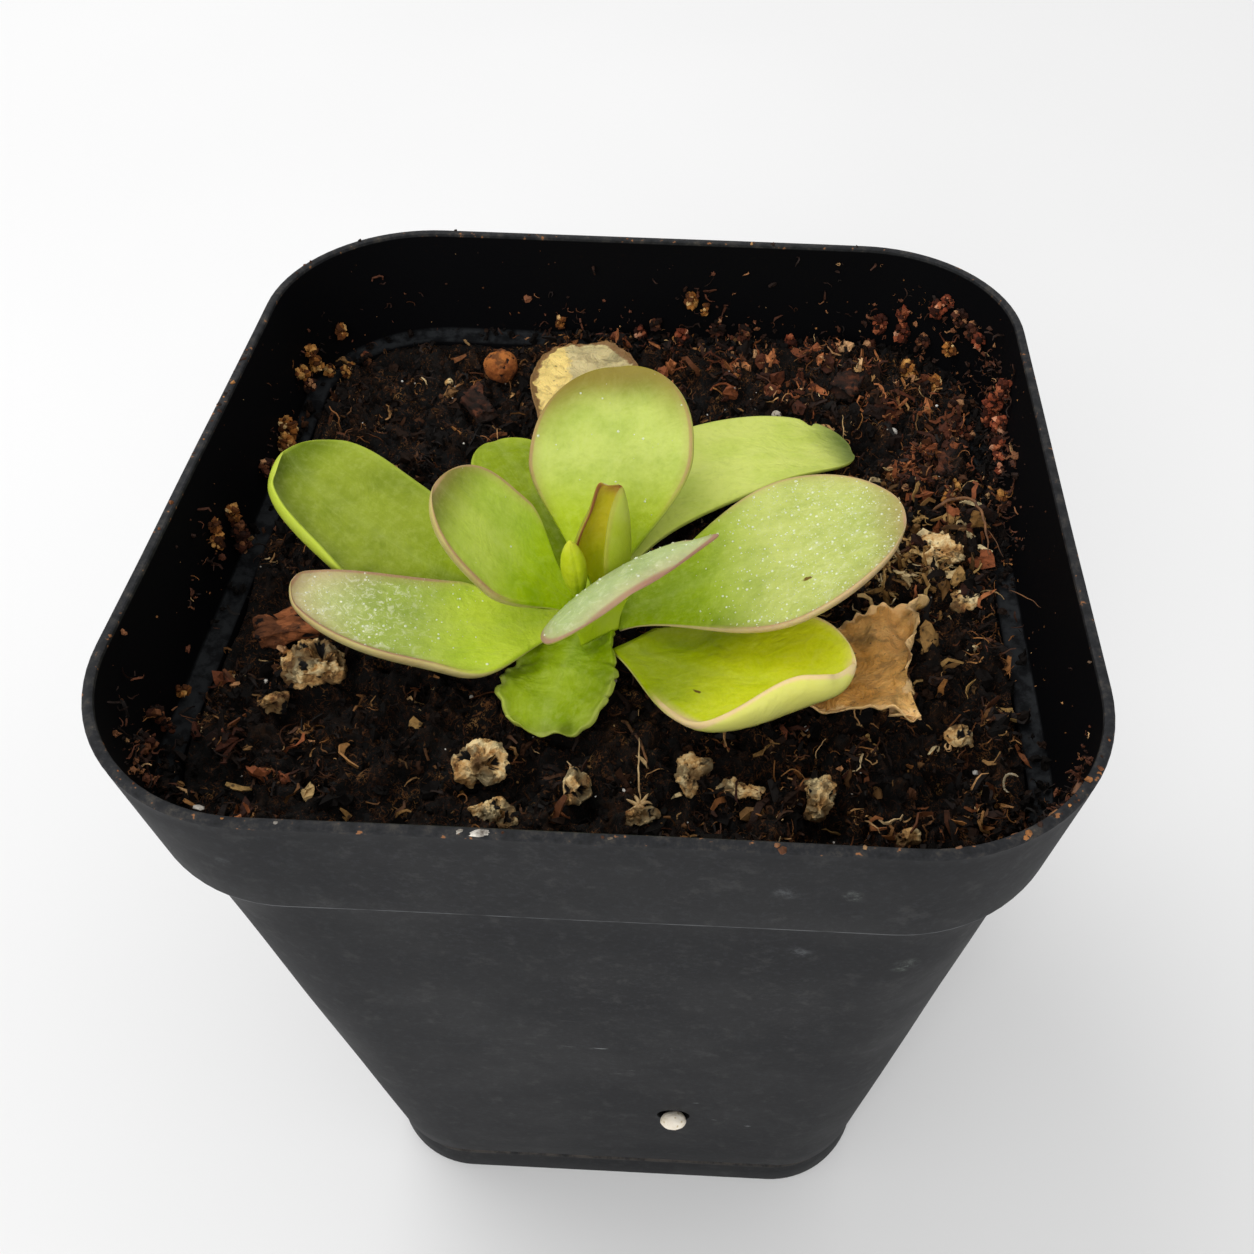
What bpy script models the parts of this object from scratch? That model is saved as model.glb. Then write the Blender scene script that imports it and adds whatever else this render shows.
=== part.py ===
# A butterwort rosette in a square nursery pot, as separate solids.
# Metres, +Z up. The origin is the middle of the pot's underside. -Y is the front.

import math
import random

import bmesh
import bpy
from mathutils import Matrix, Vector, noise

MM = 0.001
GAP = 0.35 * MM  # clearance kept between pieces that touch

# Pot: half widths and corner radii of its rounded-square sections
POT_HEIGHT = 100 * MM
RIM_HALF = 45 * MM
RIM_CORNER = 18 * MM
WALL = 1.0 * MM
BAND_HEIGHT = 15 * MM
BAND_BOTTOM_HALF = 43.3 * MM
BODY_TOP_HALF = 41.2 * MM
BODY_TOP_CORNER = 14 * MM
BODY_BOTTOM_HALF = 32.1 * MM
BODY_BOTTOM_CORNER = 11.5 * MM
FOOT_HEIGHT = 5.4 * MM
FOOT_HALF = 31.4 * MM
FLOOR = 1.4 * MM
CORNER_STEPS = 8
SIDE_HOLE_RADIUS = 2.0 * MM
SIDE_HOLE = (7.3 * MM, 25 * MM)  # across, up
FLOOR_HOLE_RADIUS = 2.6 * MM
FLOOR_HOLE_SPREAD = 19 * MM

# Growing mix
MIX_LEVEL = 84.4 * MM
MIX_TOP_HALF = 39.8 * MM
MIX_TOP_CORNER = 12.6 * MM
MIX_BOTTOM_HALF = 29.9 * MM
MIX_BOTTOM_CORNER = 10 * MM
MIX_SIDE_STEPS = 6
# low heaps of mix: centre x, centre y, spread, height
MOUNDS = (
    (38, 10, 9, 2.6),
    (24, 37, 11, 2.2),
    (-4, 38, 9, 1.2),
    (34, -14, 9, 1.0),
    (-36, -2, 7, 0.8),
    (4, -37, 14, 0.9),
)

# Plant
CROWN = (-2.8 * MM, -10.4 * MM)
CROWN_RADIUS = 1.0 * MM
CROWN_FOOT = 80 * MM
CROWN_TIP = 89.2 * MM
LEAF_THICKNESS = 0.8 * MM
DEAD_THICKNESS = 0.5 * MM
ROOT_RADIUS = 0.45 * MM
ROOTS = 5

# Each blade, in millimetres and degrees:
# start    distance of its base from the crown's axis, and the base's height
# heading  compass direction of the base (0 is +X, 90 is +Y) and how far it turns by the tip
# rise     slope of the base, and how far the slope changes by the tip
# bend     1 spreads that change evenly, and more leaves it for the tip
# size     length along the midrib, and full width
# tilt     roll of the blade about its midrib, at base and tip
# form     base width share, place of the widest point, fullness of the tip
# cup      how far the cross-section bends up on each half
# roll     how far the left and right margins curl up
LEAVES = {
    "leaf_upper_left": dict(
        start=(4.1, 87.2), heading=(171, -28), rise=(9, 17), size=(34, 15.2),
        tilt=(13, 1), form=(0.24, 0.67, 2.2), cup=10, roll=(60, 15)),
    "leaf_lower_left": dict(
        start=(2.9, 89.0), heading=(207, -46), rise=(5, 15), size=(28.3, 12.8),
        tilt=(1, -8), form=(0.24, 0.4, 2.2), cup=10, roll=(50, 10)),
    "leaf_mid_left": dict(
        start=(2.1, 90.2), heading=(179, -20), rise=(41, 10), size=(19, 15),
        tilt=(8, -13), form=(0.22, 0.45, 2.2), cup=14, roll=(40, 10)),
    "leaf_behind_left": dict(
        start=(3.0, 87.5), heading=(114, 13), rise=(15, -13), size=(25, 11.7),
        tilt=(-3, -7), form=(0.24, 0.63, 2.2), cup=10, roll=(25, 25)),
    "leaf_back": dict(
        start=(1.9, 89.4), heading=(83, 11), rise=(37, -14), size=(26, 18.2),
        tilt=(10, 10), form=(0.2, 0.57, 2.3), cup=10, roll=(20, 20)),
    "leaf_back_right": dict(
        start=(4.1, 89.1), heading=(78, -75), rise=(10, -21), size=(38.9, 16),
        tilt=(-4, 18), form=(0.26, 0.63, 2.2), cup=10, roll=(10, 15)),
    "leaf_right": dict(
        start=(2.7, 88.3), heading=(6, 1), rise=(25, -3), size=(31.4, 23.4),
        tilt=(-12, 18), form=(0.17, 0.66, 2.2), cup=8, roll=(15, 30)),
    "leaf_front_right": dict(
        start=(5.2, 87.9), heading=(-41, 33), rise=(8, 18), size=(25.2, 18.2),
        tilt=(13, 9), form=(0.22, 0.58, 2.2), cup=12, roll=(10, 70)),
    "leaf_front": dict(
        start=(2.2, 87.6), heading=(-107, 12), rise=(7, -11), size=(13.6, 11.8),
        tilt=(-12, -4), form=(0.3, 0.5, 2.6), cup=6, roll=(15, 15)),
    "leaf_raised_front": dict(
        start=(3.5, 89.2), heading=(-73, 18), rise=(92, -84), bend=1.5, size=(17.6, 17.3),
        tilt=(-19, -12), form=(0.26, 0.82, 2.6), cup=-14, roll=(0, 0)),
    "leaf_young_folded": dict(
        start=(1.8, 90.7), heading=(40, 0), rise=(70, 20), size=(13.4, 12.2),
        tilt=(-28, -2), form=(0.38, 0.55, 1.9), cup=136, roll=(0, 0)),
}
DEAD_LEAVES = {
    "dead_leaf_back": dict(
        start=(8.0, 86.9), heading=(94, 9), rise=(5, -2), size=(39, 14.2),
        tilt=(-2, 0), form=(0.2, 0.77, 2.2), cup=6, roll=(10, 10)),
    "dead_leaf_right": dict(
        start=(3.4, 86.5), heading=(-22, 28), rise=(-2, 20), size=(30.8, 17),
        tilt=(-7, 15), form=(0.2, 0.9, 3.0), cup=4, roll=(10, 10)),
}
BUD_LENGTH = 10.4 * MM
BUD_RADIUS = 1.1 * MM
BUD_FOOT = (-0.9 * MM, -1.6 * MM, 91.2 * MM)  # from the crown's axis, and its height
BUD_LEAN = (5, -3)  # degrees about X and Y
BLADE_ACROSS = 8
BLADE_ALONG = 9
BLADE_STEPS = 72  # steps used to follow a midrib
MARGIN_SHARE = 0.25  # outer share of each half that curls

# Loose pieces on the mix, in millimetres: x, y, then length, width, height, turn in degrees
PUMICE = (
    (-30, -17.4, 9.0, 5.5, 4.2, 8),
    (-33.5, -21.5, 3.6, 2.6, 2.0, 40),
    (-11.3, -28.6, 6.4, 5.0, 4.4, 20),
    (-9.6, -33.8, 4.4, 3.2, 2.8, -25),
    (-2.4, -30.8, 4.2, 3.0, 3.0, 60),
    (3.9, -33.2, 3.4, 2.2, 1.8, 15),
    (8.3, -28.8, 3.6, 4.4, 3.2, 5),
    (13.0, -29.8, 4.6, 2.8, 2.2, -10),
    (20.3, -30.6, 4.0, 5.4, 3.8, -15),
    (28.3, -33.6, 3.0, 2.2, 2.0, 35),
    (34.0, -22.6, 4.2, 3.0, 2.4, 20),
    (34.4, 1.6, 5.6, 4.2, 3.4, -30),
    (36.6, -4.4, 4.2, 3.4, 2.6, 50),
)
BARK = (
    (-33.6, -11.6, 7.5, 3.8, 1.6, 16),
    (26.0, 33.0, 7.0, 3.4, 1.4, 65),
    (-21.0, 27.0, 6.0, 3.0, 1.2, 120),
    (37.0, 17.5, 5.0, 2.6, 1.2, 80),
)
PELLET = (-19.0, 33.0, 4.6)  # x, y, diameter
PERLITE = (
    (16.5, 26.5, 2.0),
    (27.5, 12.8, 1.8),
    (-25.5, 31.5, 1.8),
    (30.8, 24.5, 2.2),
)
TWIGS = {  # x, y, height above the mix
    "twig_right": ((33.6, 8.2, 1.2), (37.6, 8.4, 2.8), (39.0, 3.6, 3.8), (38.6, -2.0, 5.0)),
    "twig_front": ((1.0, -21.5, 0.9), (3.0, -24.5, 1.3), (4.4, -27.6, 1.0)),
}
TWIG_RADIUS = 0.35 * MM
HOLE_GRAIN = (2.9, 2.3, 2.6)  # across, through the wall, up
HOLE_GRAIN_OUT = 0.45 * MM  # its middle lies this far outside the wall

COLOURS = {  # base colour, roughness
    "pot_plastic": ((0.030, 0.032, 0.034), 0.55),
    "growing_mix": ((0.035, 0.020, 0.012), 0.95),
    "leaf_green": ((0.33, 0.48, 0.10), 0.40),
    "dead_leaf": ((0.42, 0.26, 0.11), 0.75),
    "crown": ((0.45, 0.50, 0.20), 0.60),
    "root": ((0.62, 0.52, 0.38), 0.70),
    "pumice": ((0.50, 0.38, 0.22), 0.90),
    "bark": ((0.20, 0.08, 0.04), 0.90),
    "clay": ((0.36, 0.13, 0.05), 0.85),
    "perlite": ((0.80, 0.76, 0.68), 0.85),
    "twig": ((0.17, 0.08, 0.04), 0.85),
}


# ---- scene and small helpers ----

for old in list(bpy.data.objects):
    bpy.data.objects.remove(old, do_unlink=True)

plant = bpy.data.collections.new("potted_butterwort")
cutters = bpy.data.collections.new("cutters")
for group in (plant, cutters):
    bpy.context.scene.collection.children.link(group)


def make_material(name):
    colour, roughness = COLOURS[name]
    material = bpy.data.materials.new(name)
    material.use_nodes = True
    shader = material.node_tree.nodes["Principled BSDF"]
    shader.inputs["Base Color"].default_value = (*colour, 1)
    shader.inputs["Roughness"].default_value = roughness
    shader.inputs["Metallic"].default_value = 0
    return material


materials = {name: make_material(name) for name in COLOURS}


def add_object(name, data, material):
    data.materials.append(materials[material])
    piece = bpy.data.objects.new(name, data)
    plant.objects.link(piece)
    return piece


def mesh_from(name, build):
    """A mesh made by build(bm), smooth with sharp edges kept."""
    bm = bmesh.new()
    build(bm)
    bmesh.ops.recalc_face_normals(bm, faces=bm.faces)
    mesh = bpy.data.meshes.new(name)
    bm.to_mesh(mesh)
    bm.free()
    mesh.shade_smooth()
    mesh.set_sharp_from_angle(angle=math.radians(40))
    return mesh


def tube_curve(name, points, radius, cap=True):
    curve = bpy.data.curves.new(name, "CURVE")
    curve.dimensions = "3D"
    curve.bevel_depth = radius
    curve.bevel_resolution = 2
    curve.use_fill_caps = cap
    spline = curve.splines.new("POLY")
    spline.points.add(len(points) - 1)
    for spot, point in zip(spline.points, points):
        spot.co = (*point, 1)
    return curve


def make_cutter(name, mesh):
    cutter = bpy.data.objects.new(name, mesh)
    cutter.hide_render = True
    cutter.display_type = "WIRE"
    cutters.objects.link(cutter)
    return cutter


def cut(piece, cutter):
    boolean = piece.modifiers.new("cut_" + cutter.name, "BOOLEAN")
    boolean.operation = "DIFFERENCE"
    boolean.object = cutter


def smooth_step(value):
    value = min(max(value, 0), 1)
    return value * value * (3 - 2 * value)


# ---- lofted rounded squares, for the pot and the mix ----

def rounded_square(half, corner, height, side_steps=1):
    """Points round a square with round corners, anticlockwise seen from above."""
    points = []
    straight = half - corner
    for quarter in range(4):
        turn = Matrix.Rotation(math.radians(90 * quarter), 2)
        spots = []
        for step in range(1, side_steps):
            spots.append(Vector((half, straight * (2 * step / side_steps - 1))))
        for step in range(CORNER_STEPS + 1):
            angle = math.radians(90 * step / CORNER_STEPS)
            spots.append(Vector((
                straight + corner * math.cos(angle),
                straight + corner * math.sin(angle))))
        points += [Vector((*(turn @ spot), height)) for spot in spots]
    return points


def add_ring(bm, points):
    return [bm.verts.new(point) for point in points]


def bridge(bm, lower, upper):
    count = len(lower)
    for i in range(count):
        j = (i + 1) % count
        bm.faces.new((lower[i], lower[j], upper[j], upper[i]))


# ---- pot ----

def build_pot(bm):
    band_bottom = POT_HEIGHT - BAND_HEIGHT
    inner_floor = BODY_BOTTOM_HALF - WALL
    sections = (
        (FOOT_HALF - 0.4 * MM, 11.6 * MM, 0),
        (FOOT_HALF, 12 * MM, 0.4 * MM),
        (FOOT_HALF, 12 * MM, FOOT_HEIGHT),
        (BODY_BOTTOM_HALF, BODY_BOTTOM_CORNER, FOOT_HEIGHT + 0.5 * MM),
        (BODY_TOP_HALF, BODY_TOP_CORNER, band_bottom - 0.6 * MM),
        (BODY_TOP_HALF + 0.4 * MM, BODY_TOP_CORNER, band_bottom),
        (BAND_BOTTOM_HALF - 0.4 * MM, 16.7 * MM, band_bottom),
        (BAND_BOTTOM_HALF, 17 * MM, band_bottom + 0.5 * MM),
        (RIM_HALF, RIM_CORNER, POT_HEIGHT - 0.3 * MM),
        (RIM_HALF - 0.25 * MM, RIM_CORNER - 0.25 * MM, POT_HEIGHT),
        (RIM_HALF - WALL + 0.15 * MM, RIM_CORNER - WALL, POT_HEIGHT),
        (RIM_HALF - WALL, RIM_CORNER - WALL, POT_HEIGHT - 0.3 * MM),
        (BAND_BOTTOM_HALF - 0.9 * MM, 16 * MM, band_bottom + WALL),
        (BODY_TOP_HALF - 0.8 * MM, BODY_TOP_CORNER - WALL, band_bottom + 0.8 * MM),
        (BODY_TOP_HALF - WALL, BODY_TOP_CORNER - WALL, band_bottom - 0.4 * MM),
        (inner_floor, BODY_BOTTOM_CORNER - WALL, FOOT_HEIGHT + 1.2 * MM),
        (FOOT_HALF - WALL - 0.1 * MM, 10.6 * MM, FLOOR),
    )
    rings = [add_ring(bm, rounded_square(*section)) for section in sections]
    for lower, upper in zip(rings, rings[1:]):
        bridge(bm, lower, upper)
    bm.faces.new(reversed(rings[0]))
    bm.faces.new(rings[-1])


def add_drill(name, radius, length, location, turn):
    def build(bm):
        bmesh.ops.create_cone(
            bm, cap_ends=True, segments=16, radius1=radius, radius2=radius, depth=length)

    cutter = make_cutter(name, mesh_from(name, build))
    cutter.location = location
    cutter.rotation_euler = turn
    return cutter


def wall_half(height):
    """Half width of the outside of the tapered body at a height."""
    share = (height - FOOT_HEIGHT) / (POT_HEIGHT - BAND_HEIGHT - FOOT_HEIGHT)
    return BODY_BOTTOM_HALF + (BODY_TOP_HALF - BODY_BOTTOM_HALF) * share


def make_pot():
    pot = add_object("pot", mesh_from("pot", build_pot), "pot_plastic")
    across, up = SIDE_HOLE
    side_drill = add_drill(
        "side_hole", SIDE_HOLE_RADIUS, 6 * MM,
        (across, -wall_half(up) + WALL / 2, up), (math.radians(90), 0, 0))
    cut(pot, side_drill)
    for i in range(-1, 2):
        for j in range(-1, 2):
            if i or j:
                spot = (i * FLOOR_HOLE_SPREAD, j * FLOOR_HOLE_SPREAD, FLOOR / 2)
                drill = add_drill(f"floor_hole_{i}_{j}", FLOOR_HOLE_RADIUS, 6 * MM, spot, (0, 0, 0))
                cut(pot, drill)


# ---- growing mix ----

def mix_height(x, y):
    """Height of the mix's surface at a place, in metres."""
    a, b = x / MM, y / MM
    height = 0.45 * math.sin(0.31 * a + 1.1) * math.cos(0.27 * b)
    height += 0.25 * math.sin(0.63 * a - 0.52 * b)
    for centre_x, centre_y, spread, top in MOUNDS:
        away = ((a - centre_x) ** 2 + (b - centre_y) ** 2) / spread ** 2
        height += top * math.exp(-away)
    return MIX_LEVEL + height * MM


def resting_height(x, y, reach):
    """Height clear of the mix everywhere within reach of a place."""
    tops = [mix_height(x, y)]
    for ring in (0.5, 1.0):
        for step in range(12):
            angle = math.radians(30 * step)
            spot = (x + ring * reach * math.cos(angle), y + ring * reach * math.sin(angle))
            tops.append(mix_height(*spot))
    return max(tops) + GAP


def build_mix(bm):
    wall_top = MIX_LEVEL - 2 * MM
    sections = (
        (MIX_BOTTOM_HALF - 0.4 * MM, MIX_BOTTOM_CORNER, FLOOR + GAP),
        (MIX_BOTTOM_HALF + 0.7 * MM, MIX_BOTTOM_CORNER, FOOT_HEIGHT + 1.2 * MM),
        (MIX_TOP_HALF - 0.25 * MM, MIX_TOP_CORNER, wall_top),
    )
    rings = [add_ring(bm, rounded_square(*section, MIX_SIDE_STEPS)) for section in sections]
    for share in (1.0, 0.92, 0.81, 0.69, 0.56, 0.43, 0.3, 0.17):
        flat = rounded_square(MIX_TOP_HALF * share, MIX_TOP_CORNER * share, 0, MIX_SIDE_STEPS)
        top = [Vector((p.x, p.y, mix_height(p.x, p.y))) for p in flat]
        rings.append(add_ring(bm, top))
    for lower, upper in zip(rings, rings[1:]):
        bridge(bm, lower, upper)
    bm.faces.new(reversed(rings[0]))
    middle = bm.verts.new((0, 0, mix_height(0, 0)))
    inner = rings[-1]
    for i, spot in enumerate(inner):
        bm.faces.new((spot, inner[(i + 1) % len(inner)], middle))


def root_path(index):
    """A root from just below the crown, out and down into the mix."""
    angle = math.radians(360 / ROOTS * index + 20)
    reach = (9 + 2 * (index % 3)) * MM
    depth = (24 + 5 * ((index * 2) % 5)) * MM
    points = []
    for step in range(9):
        share = step / 8
        away = 1.15 * MM + reach * share ** 1.3
        sway = 1.2 * MM * math.sin(5 * share + index)
        x = CROWN[0] + away * math.cos(angle) - sway * share * math.sin(angle)
        y = CROWN[1] + away * math.sin(angle) + sway * share * math.cos(angle)
        points.append(Vector((x, y, CROWN_FOOT - GAP - depth * share)))
    return points


def tube_cutter(name, points, radius):
    """A closed tube mesh along a path, made from a curve."""
    guide = bpy.data.objects.new(name + "_guide", tube_curve(name, points, radius))
    cutters.objects.link(guide)
    bpy.context.view_layer.update()
    shape = guide.evaluated_get(bpy.context.evaluated_depsgraph_get())
    mesh = bpy.data.meshes.new_from_object(shape)
    bm = bmesh.new()
    bm.from_mesh(mesh)
    bmesh.ops.remove_doubles(bm, verts=bm.verts, dist=0.00001)
    bmesh.ops.recalc_face_normals(bm, faces=bm.faces)
    bm.to_mesh(mesh)
    bm.free()
    cutter = make_cutter(name, mesh)
    cutter.matrix_world = guide.matrix_world
    bpy.data.objects.remove(guide)
    return cutter


def make_mix():
    mix = add_object("growing_mix", mesh_from("growing_mix", build_mix), "growing_mix")
    foot = CROWN_FOOT - 2.2 * MM
    top = MIX_LEVEL + 4 * MM
    pocket = add_drill(
        "crown_pocket", 2.6 * MM, top - foot, (*CROWN, (top + foot) / 2), (0, 0, 0))
    cut(mix, pocket)
    for index in range(ROOTS):
        points = root_path(index)
        end = points[-1] + (points[-1] - points[-2]).normalized() * 2 * GAP
        cut(mix, tube_cutter(f"root_channel_{index + 1}", [*points, end], ROOT_RADIUS + GAP))
    return mix


# ---- crown and roots ----

def make_crown():
    """A short turned stem: a profile from its tip down to its foot, spun round the axis."""
    height = CROWN_TIP - CROWN_FOOT
    profile = ((0, 1), (0.55, 0.985), (0.9, 0.93), (1.0, 0.6), (1.5, 0.35), (1.3, 0.05), (0, 0))
    mesh = bpy.data.meshes.new("crown_stem")
    spots = [(CROWN_RADIUS * across, 0, height * up) for across, up in profile]
    mesh.from_pydata(spots, [(i, i + 1) for i in range(len(spots) - 1)], [])
    crown = add_object("crown_stem", mesh, "crown")
    crown.location = (*CROWN, CROWN_FOOT)
    screw = crown.modifiers.new("turn", "SCREW")
    screw.steps = 14
    screw.render_steps = 14
    screw.use_merge_vertices = True
    screw.merge_threshold = 0.00001
    screw.use_smooth_shade = True


def make_roots():
    for index in range(ROOTS):
        name = f"root_{index + 1}"
        add_object(name, tube_curve(name, root_path(index), ROOT_RADIUS), "root")


# ---- leaves ----

def midrib(leaf):
    """Places, directions and headings along a leaf's midrib."""
    heading, turn = leaf["heading"]
    rise, droop = leaf["rise"]
    length = leaf["size"][0] * MM
    out, height = leaf["start"]
    first = math.radians(heading)
    place = Vector((
        CROWN[0] + out * MM * math.cos(first),
        CROWN[1] + out * MM * math.sin(first),
        height * MM))
    stations = []
    for step in range(BLADE_STEPS + 1):
        share = step / BLADE_STEPS
        angle = math.radians(heading + turn * share)
        slope = math.radians(rise + droop * share ** leaf.get("bend", 1))
        along = Vector((
            math.cos(angle) * math.cos(slope),
            math.sin(angle) * math.cos(slope),
            math.sin(slope)))
        stations.append((place.copy(), along, angle))
        place = place + along * length / BLADE_STEPS
    return stations


def half_width(leaf, share):
    base, widest, fullness = leaf["form"]
    widths = leaf["size"][1] * MM / 2
    if share <= widest:
        return widths * (base + (1 - base) * smooth_step(share / widest))
    beyond = (share - widest) / (1 - widest)
    return widths * math.sqrt(max(1 - beyond ** fullness, 0))


def cross_section(leaf, across, share, half):
    """Sideways and upward offset of a point that lies across * half from the midrib."""
    curl = leaf["roll"][0 if across < 0 else 1] * smooth_step(share / 0.35)
    side = up = 0
    steps = 12
    for step in range(steps):
        here = abs(across) * (step + 0.5) / steps
        edge = max(here - (1 - MARGIN_SHARE), 0) / MARGIN_SHARE
        angle = math.radians(leaf["cup"] * here + curl * edge * edge)
        side += math.cos(angle) * abs(across) * half / steps
        up += math.sin(angle) * abs(across) * half / steps
    return math.copysign(side, across), up


def blade_point(leaf, stations, across, share):
    spot = share * BLADE_STEPS
    low = min(int(spot), BLADE_STEPS - 1)
    place = stations[low][0].lerp(stations[low + 1][0], spot - low)
    along, angle = stations[low][1], stations[low][2]
    level = Vector((math.sin(angle), -math.cos(angle), 0))
    normal = level.cross(along)
    tilt = math.radians(leaf["tilt"][0] + (leaf["tilt"][1] - leaf["tilt"][0]) * share)
    sideways = level * math.cos(tilt) + normal * math.sin(tilt)
    upward = normal * math.cos(tilt) - level * math.sin(tilt)
    side, up = cross_section(leaf, across, share, half_width(leaf, share))
    return place + sideways * side + upward * up


def make_leaf(name, leaf, thickness, material):
    """A flat grid bent into the blade, given its thickness by Solidify."""
    stations = midrib(leaf)
    widest = leaf["form"][1]

    def build(bm):
        bmesh.ops.create_grid(bm, x_segments=BLADE_ACROSS, y_segments=BLADE_ALONG, size=1)
        for vert in bm.verts:
            share = math.sin(math.pi / 4 * (vert.co.y + 1))
            share = min(share, 1 - 0.02 * (1 - widest))
            vert.co = blade_point(leaf, stations, vert.co.x, share)

    piece = add_object(name, mesh_from(name, build), material)
    skin = piece.modifiers.new("thickness", "SOLIDIFY")
    skin.thickness = thickness
    skin.offset = 0


def make_bud():
    """The youngest leaf: a closed spindle, turned from its tip down."""
    steps = 8
    spots = []
    for step in range(steps):
        share = step / steps
        across = BUD_RADIUS * math.sin(math.pi * share ** 0.8) * (1 - 0.25 * share)
        spots.append((across, 0, BUD_LENGTH * (1 - share)))
    spots += [(BUD_RADIUS * 0.3, 0, 0), (0, 0, 0)]
    mesh = bpy.data.meshes.new("leaf_bud")
    mesh.from_pydata(spots, [(i, i + 1) for i in range(len(spots) - 1)], [])
    bud = add_object("leaf_bud", mesh, "leaf_green")
    bud.location = (CROWN[0] + BUD_FOOT[0], CROWN[1] + BUD_FOOT[1], BUD_FOOT[2])
    bud.rotation_euler = (math.radians(BUD_LEAN[0]), math.radians(BUD_LEAN[1]), 0)
    screw = bud.modifiers.new("turn", "SCREW")
    screw.steps = 12
    screw.render_steps = 12
    screw.use_merge_vertices = True
    screw.merge_threshold = 0.00001
    screw.use_smooth_shade = True


# ---- loose pieces ----

def lump(bm, size, detail, roughness, seed):
    """An uneven stone: a ball of triangles pushed in and out, then stretched."""
    bmesh.ops.create_icosphere(bm, subdivisions=detail, radius=1)
    shift = Vector((seed * 3.7, seed * 1.9, seed * 5.3))
    for vert in bm.verts:
        push = 1 + roughness * noise.noise(vert.co * 1.6 + shift)
        vert.co = Vector([vert.co[i] * push * size[i] / 2 for i in range(3)])


def make_stones():
    for index, (x, y, length, width, height, turn) in enumerate(PUMICE, 1):
        name = f"pumice_{index:02d}"
        size = (length * MM, width * MM, height * MM)
        mesh = mesh_from(name, lambda bm: lump(bm, size, 2, 0.35, index))
        stone = add_object(name, mesh, "pumice")
        reach = max(length, width) / 2 * MM
        ground = resting_height(x * MM, y * MM, reach)
        lowest = min(vert.co.z for vert in mesh.vertices)
        stone.location = (x * MM, y * MM, ground - lowest)
        stone.rotation_euler = (0, 0, math.radians(turn))


def make_bark():
    chance = random.Random(7)
    for index, (x, y, length, width, height, turn) in enumerate(BARK, 1):
        name = f"bark_chip_{index}"

        def build(bm):
            bmesh.ops.create_cube(bm, size=1)
            bmesh.ops.subdivide_edges(bm, edges=bm.edges, cuts=1, use_grid_fill=True)
            for vert in bm.verts:
                shake = Vector([chance.uniform(-0.09, 0.09) for _ in range(3)])
                bow = 0.25 * (2 * vert.co.x) ** 2
                vert.co = Vector((
                    (vert.co.x + shake.x) * length * MM,
                    (vert.co.y + shake.y) * width * MM,
                    (vert.co.z + shake.z * 0.6 - bow) * height * MM))

        mesh = mesh_from(name, build)
        chip = add_object(name, mesh, "bark")
        ground = resting_height(x * MM, y * MM, length / 2 * MM)
        lowest = min(vert.co.z for vert in mesh.vertices)
        chip.location = (x * MM, y * MM, ground - lowest)
        chip.rotation_euler = (0, 0, math.radians(turn))


def make_grains():
    x, y, across = PELLET
    half = across / 2 * MM
    ball = mesh_from("clay_pellet", lambda bm: lump(bm, (2 * half,) * 3, 2, 0.15, 31))
    pellet = add_object("clay_pellet", ball, "clay")
    pellet.location = (x * MM, y * MM, resting_height(x * MM, y * MM, half) + half * 1.1)
    for index, (x, y, across) in enumerate(PERLITE, 1):
        name = f"perlite_{index}"
        size = (across * MM, across * 0.8 * MM, across * 0.8 * MM)
        mesh = mesh_from(name, lambda bm: lump(bm, size, 2, 0.3, 40 + index))
        grain = add_object(name, mesh, "perlite")
        ground = resting_height(x * MM, y * MM, across / 2 * MM)
        grain.location = (x * MM, y * MM, ground + across * 0.5 * MM)


def make_hole_grain():
    """The perlite grain that sits in the side hole and sticks out of it."""
    across, up = SIDE_HOLE
    size = [side * MM for side in HOLE_GRAIN]
    mesh = mesh_from("perlite_in_hole", lambda bm: lump(bm, size, 2, 0.12, 50))
    grain = add_object("perlite_in_hole", mesh, "perlite")
    grain.location = (across, -wall_half(up) - HOLE_GRAIN_OUT, up)


def make_twigs():
    for name, spots in TWIGS.items():
        points = []
        for x, y, above in spots:
            ground = mix_height(x * MM, y * MM)
            points.append(Vector((x * MM, y * MM, ground + above * MM)))
        path = []
        for first, second in zip(points, points[1:]):
            path += [first.lerp(second, share / 3) for share in range(3)]
        path.append(points[-1])
        for _ in range(3):  # rounds the bends
            inner = [
                (before + 2 * here + after) / 4
                for before, here, after in zip(path, path[1:], path[2:])]
            path = [path[0], *inner, path[-1]]
        add_object(name, tube_curve(name, path, TWIG_RADIUS), "twig")


# ---- build ----

make_pot()
make_mix()
make_crown()
make_roots()
for leaf_name, leaf_values in LEAVES.items():
    make_leaf(leaf_name, leaf_values, LEAF_THICKNESS, "leaf_green")
for leaf_name, leaf_values in DEAD_LEAVES.items():
    make_leaf(leaf_name, leaf_values, DEAD_THICKNESS, "dead_leaf")
make_bud()
make_stones()
make_bark()
make_grains()
make_hole_grain()
make_twigs()
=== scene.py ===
import math
import random
from functools import reduce
import bmesh
import bpy
import numpy as np
from mathutils import Matrix, Vector, noise


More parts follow.
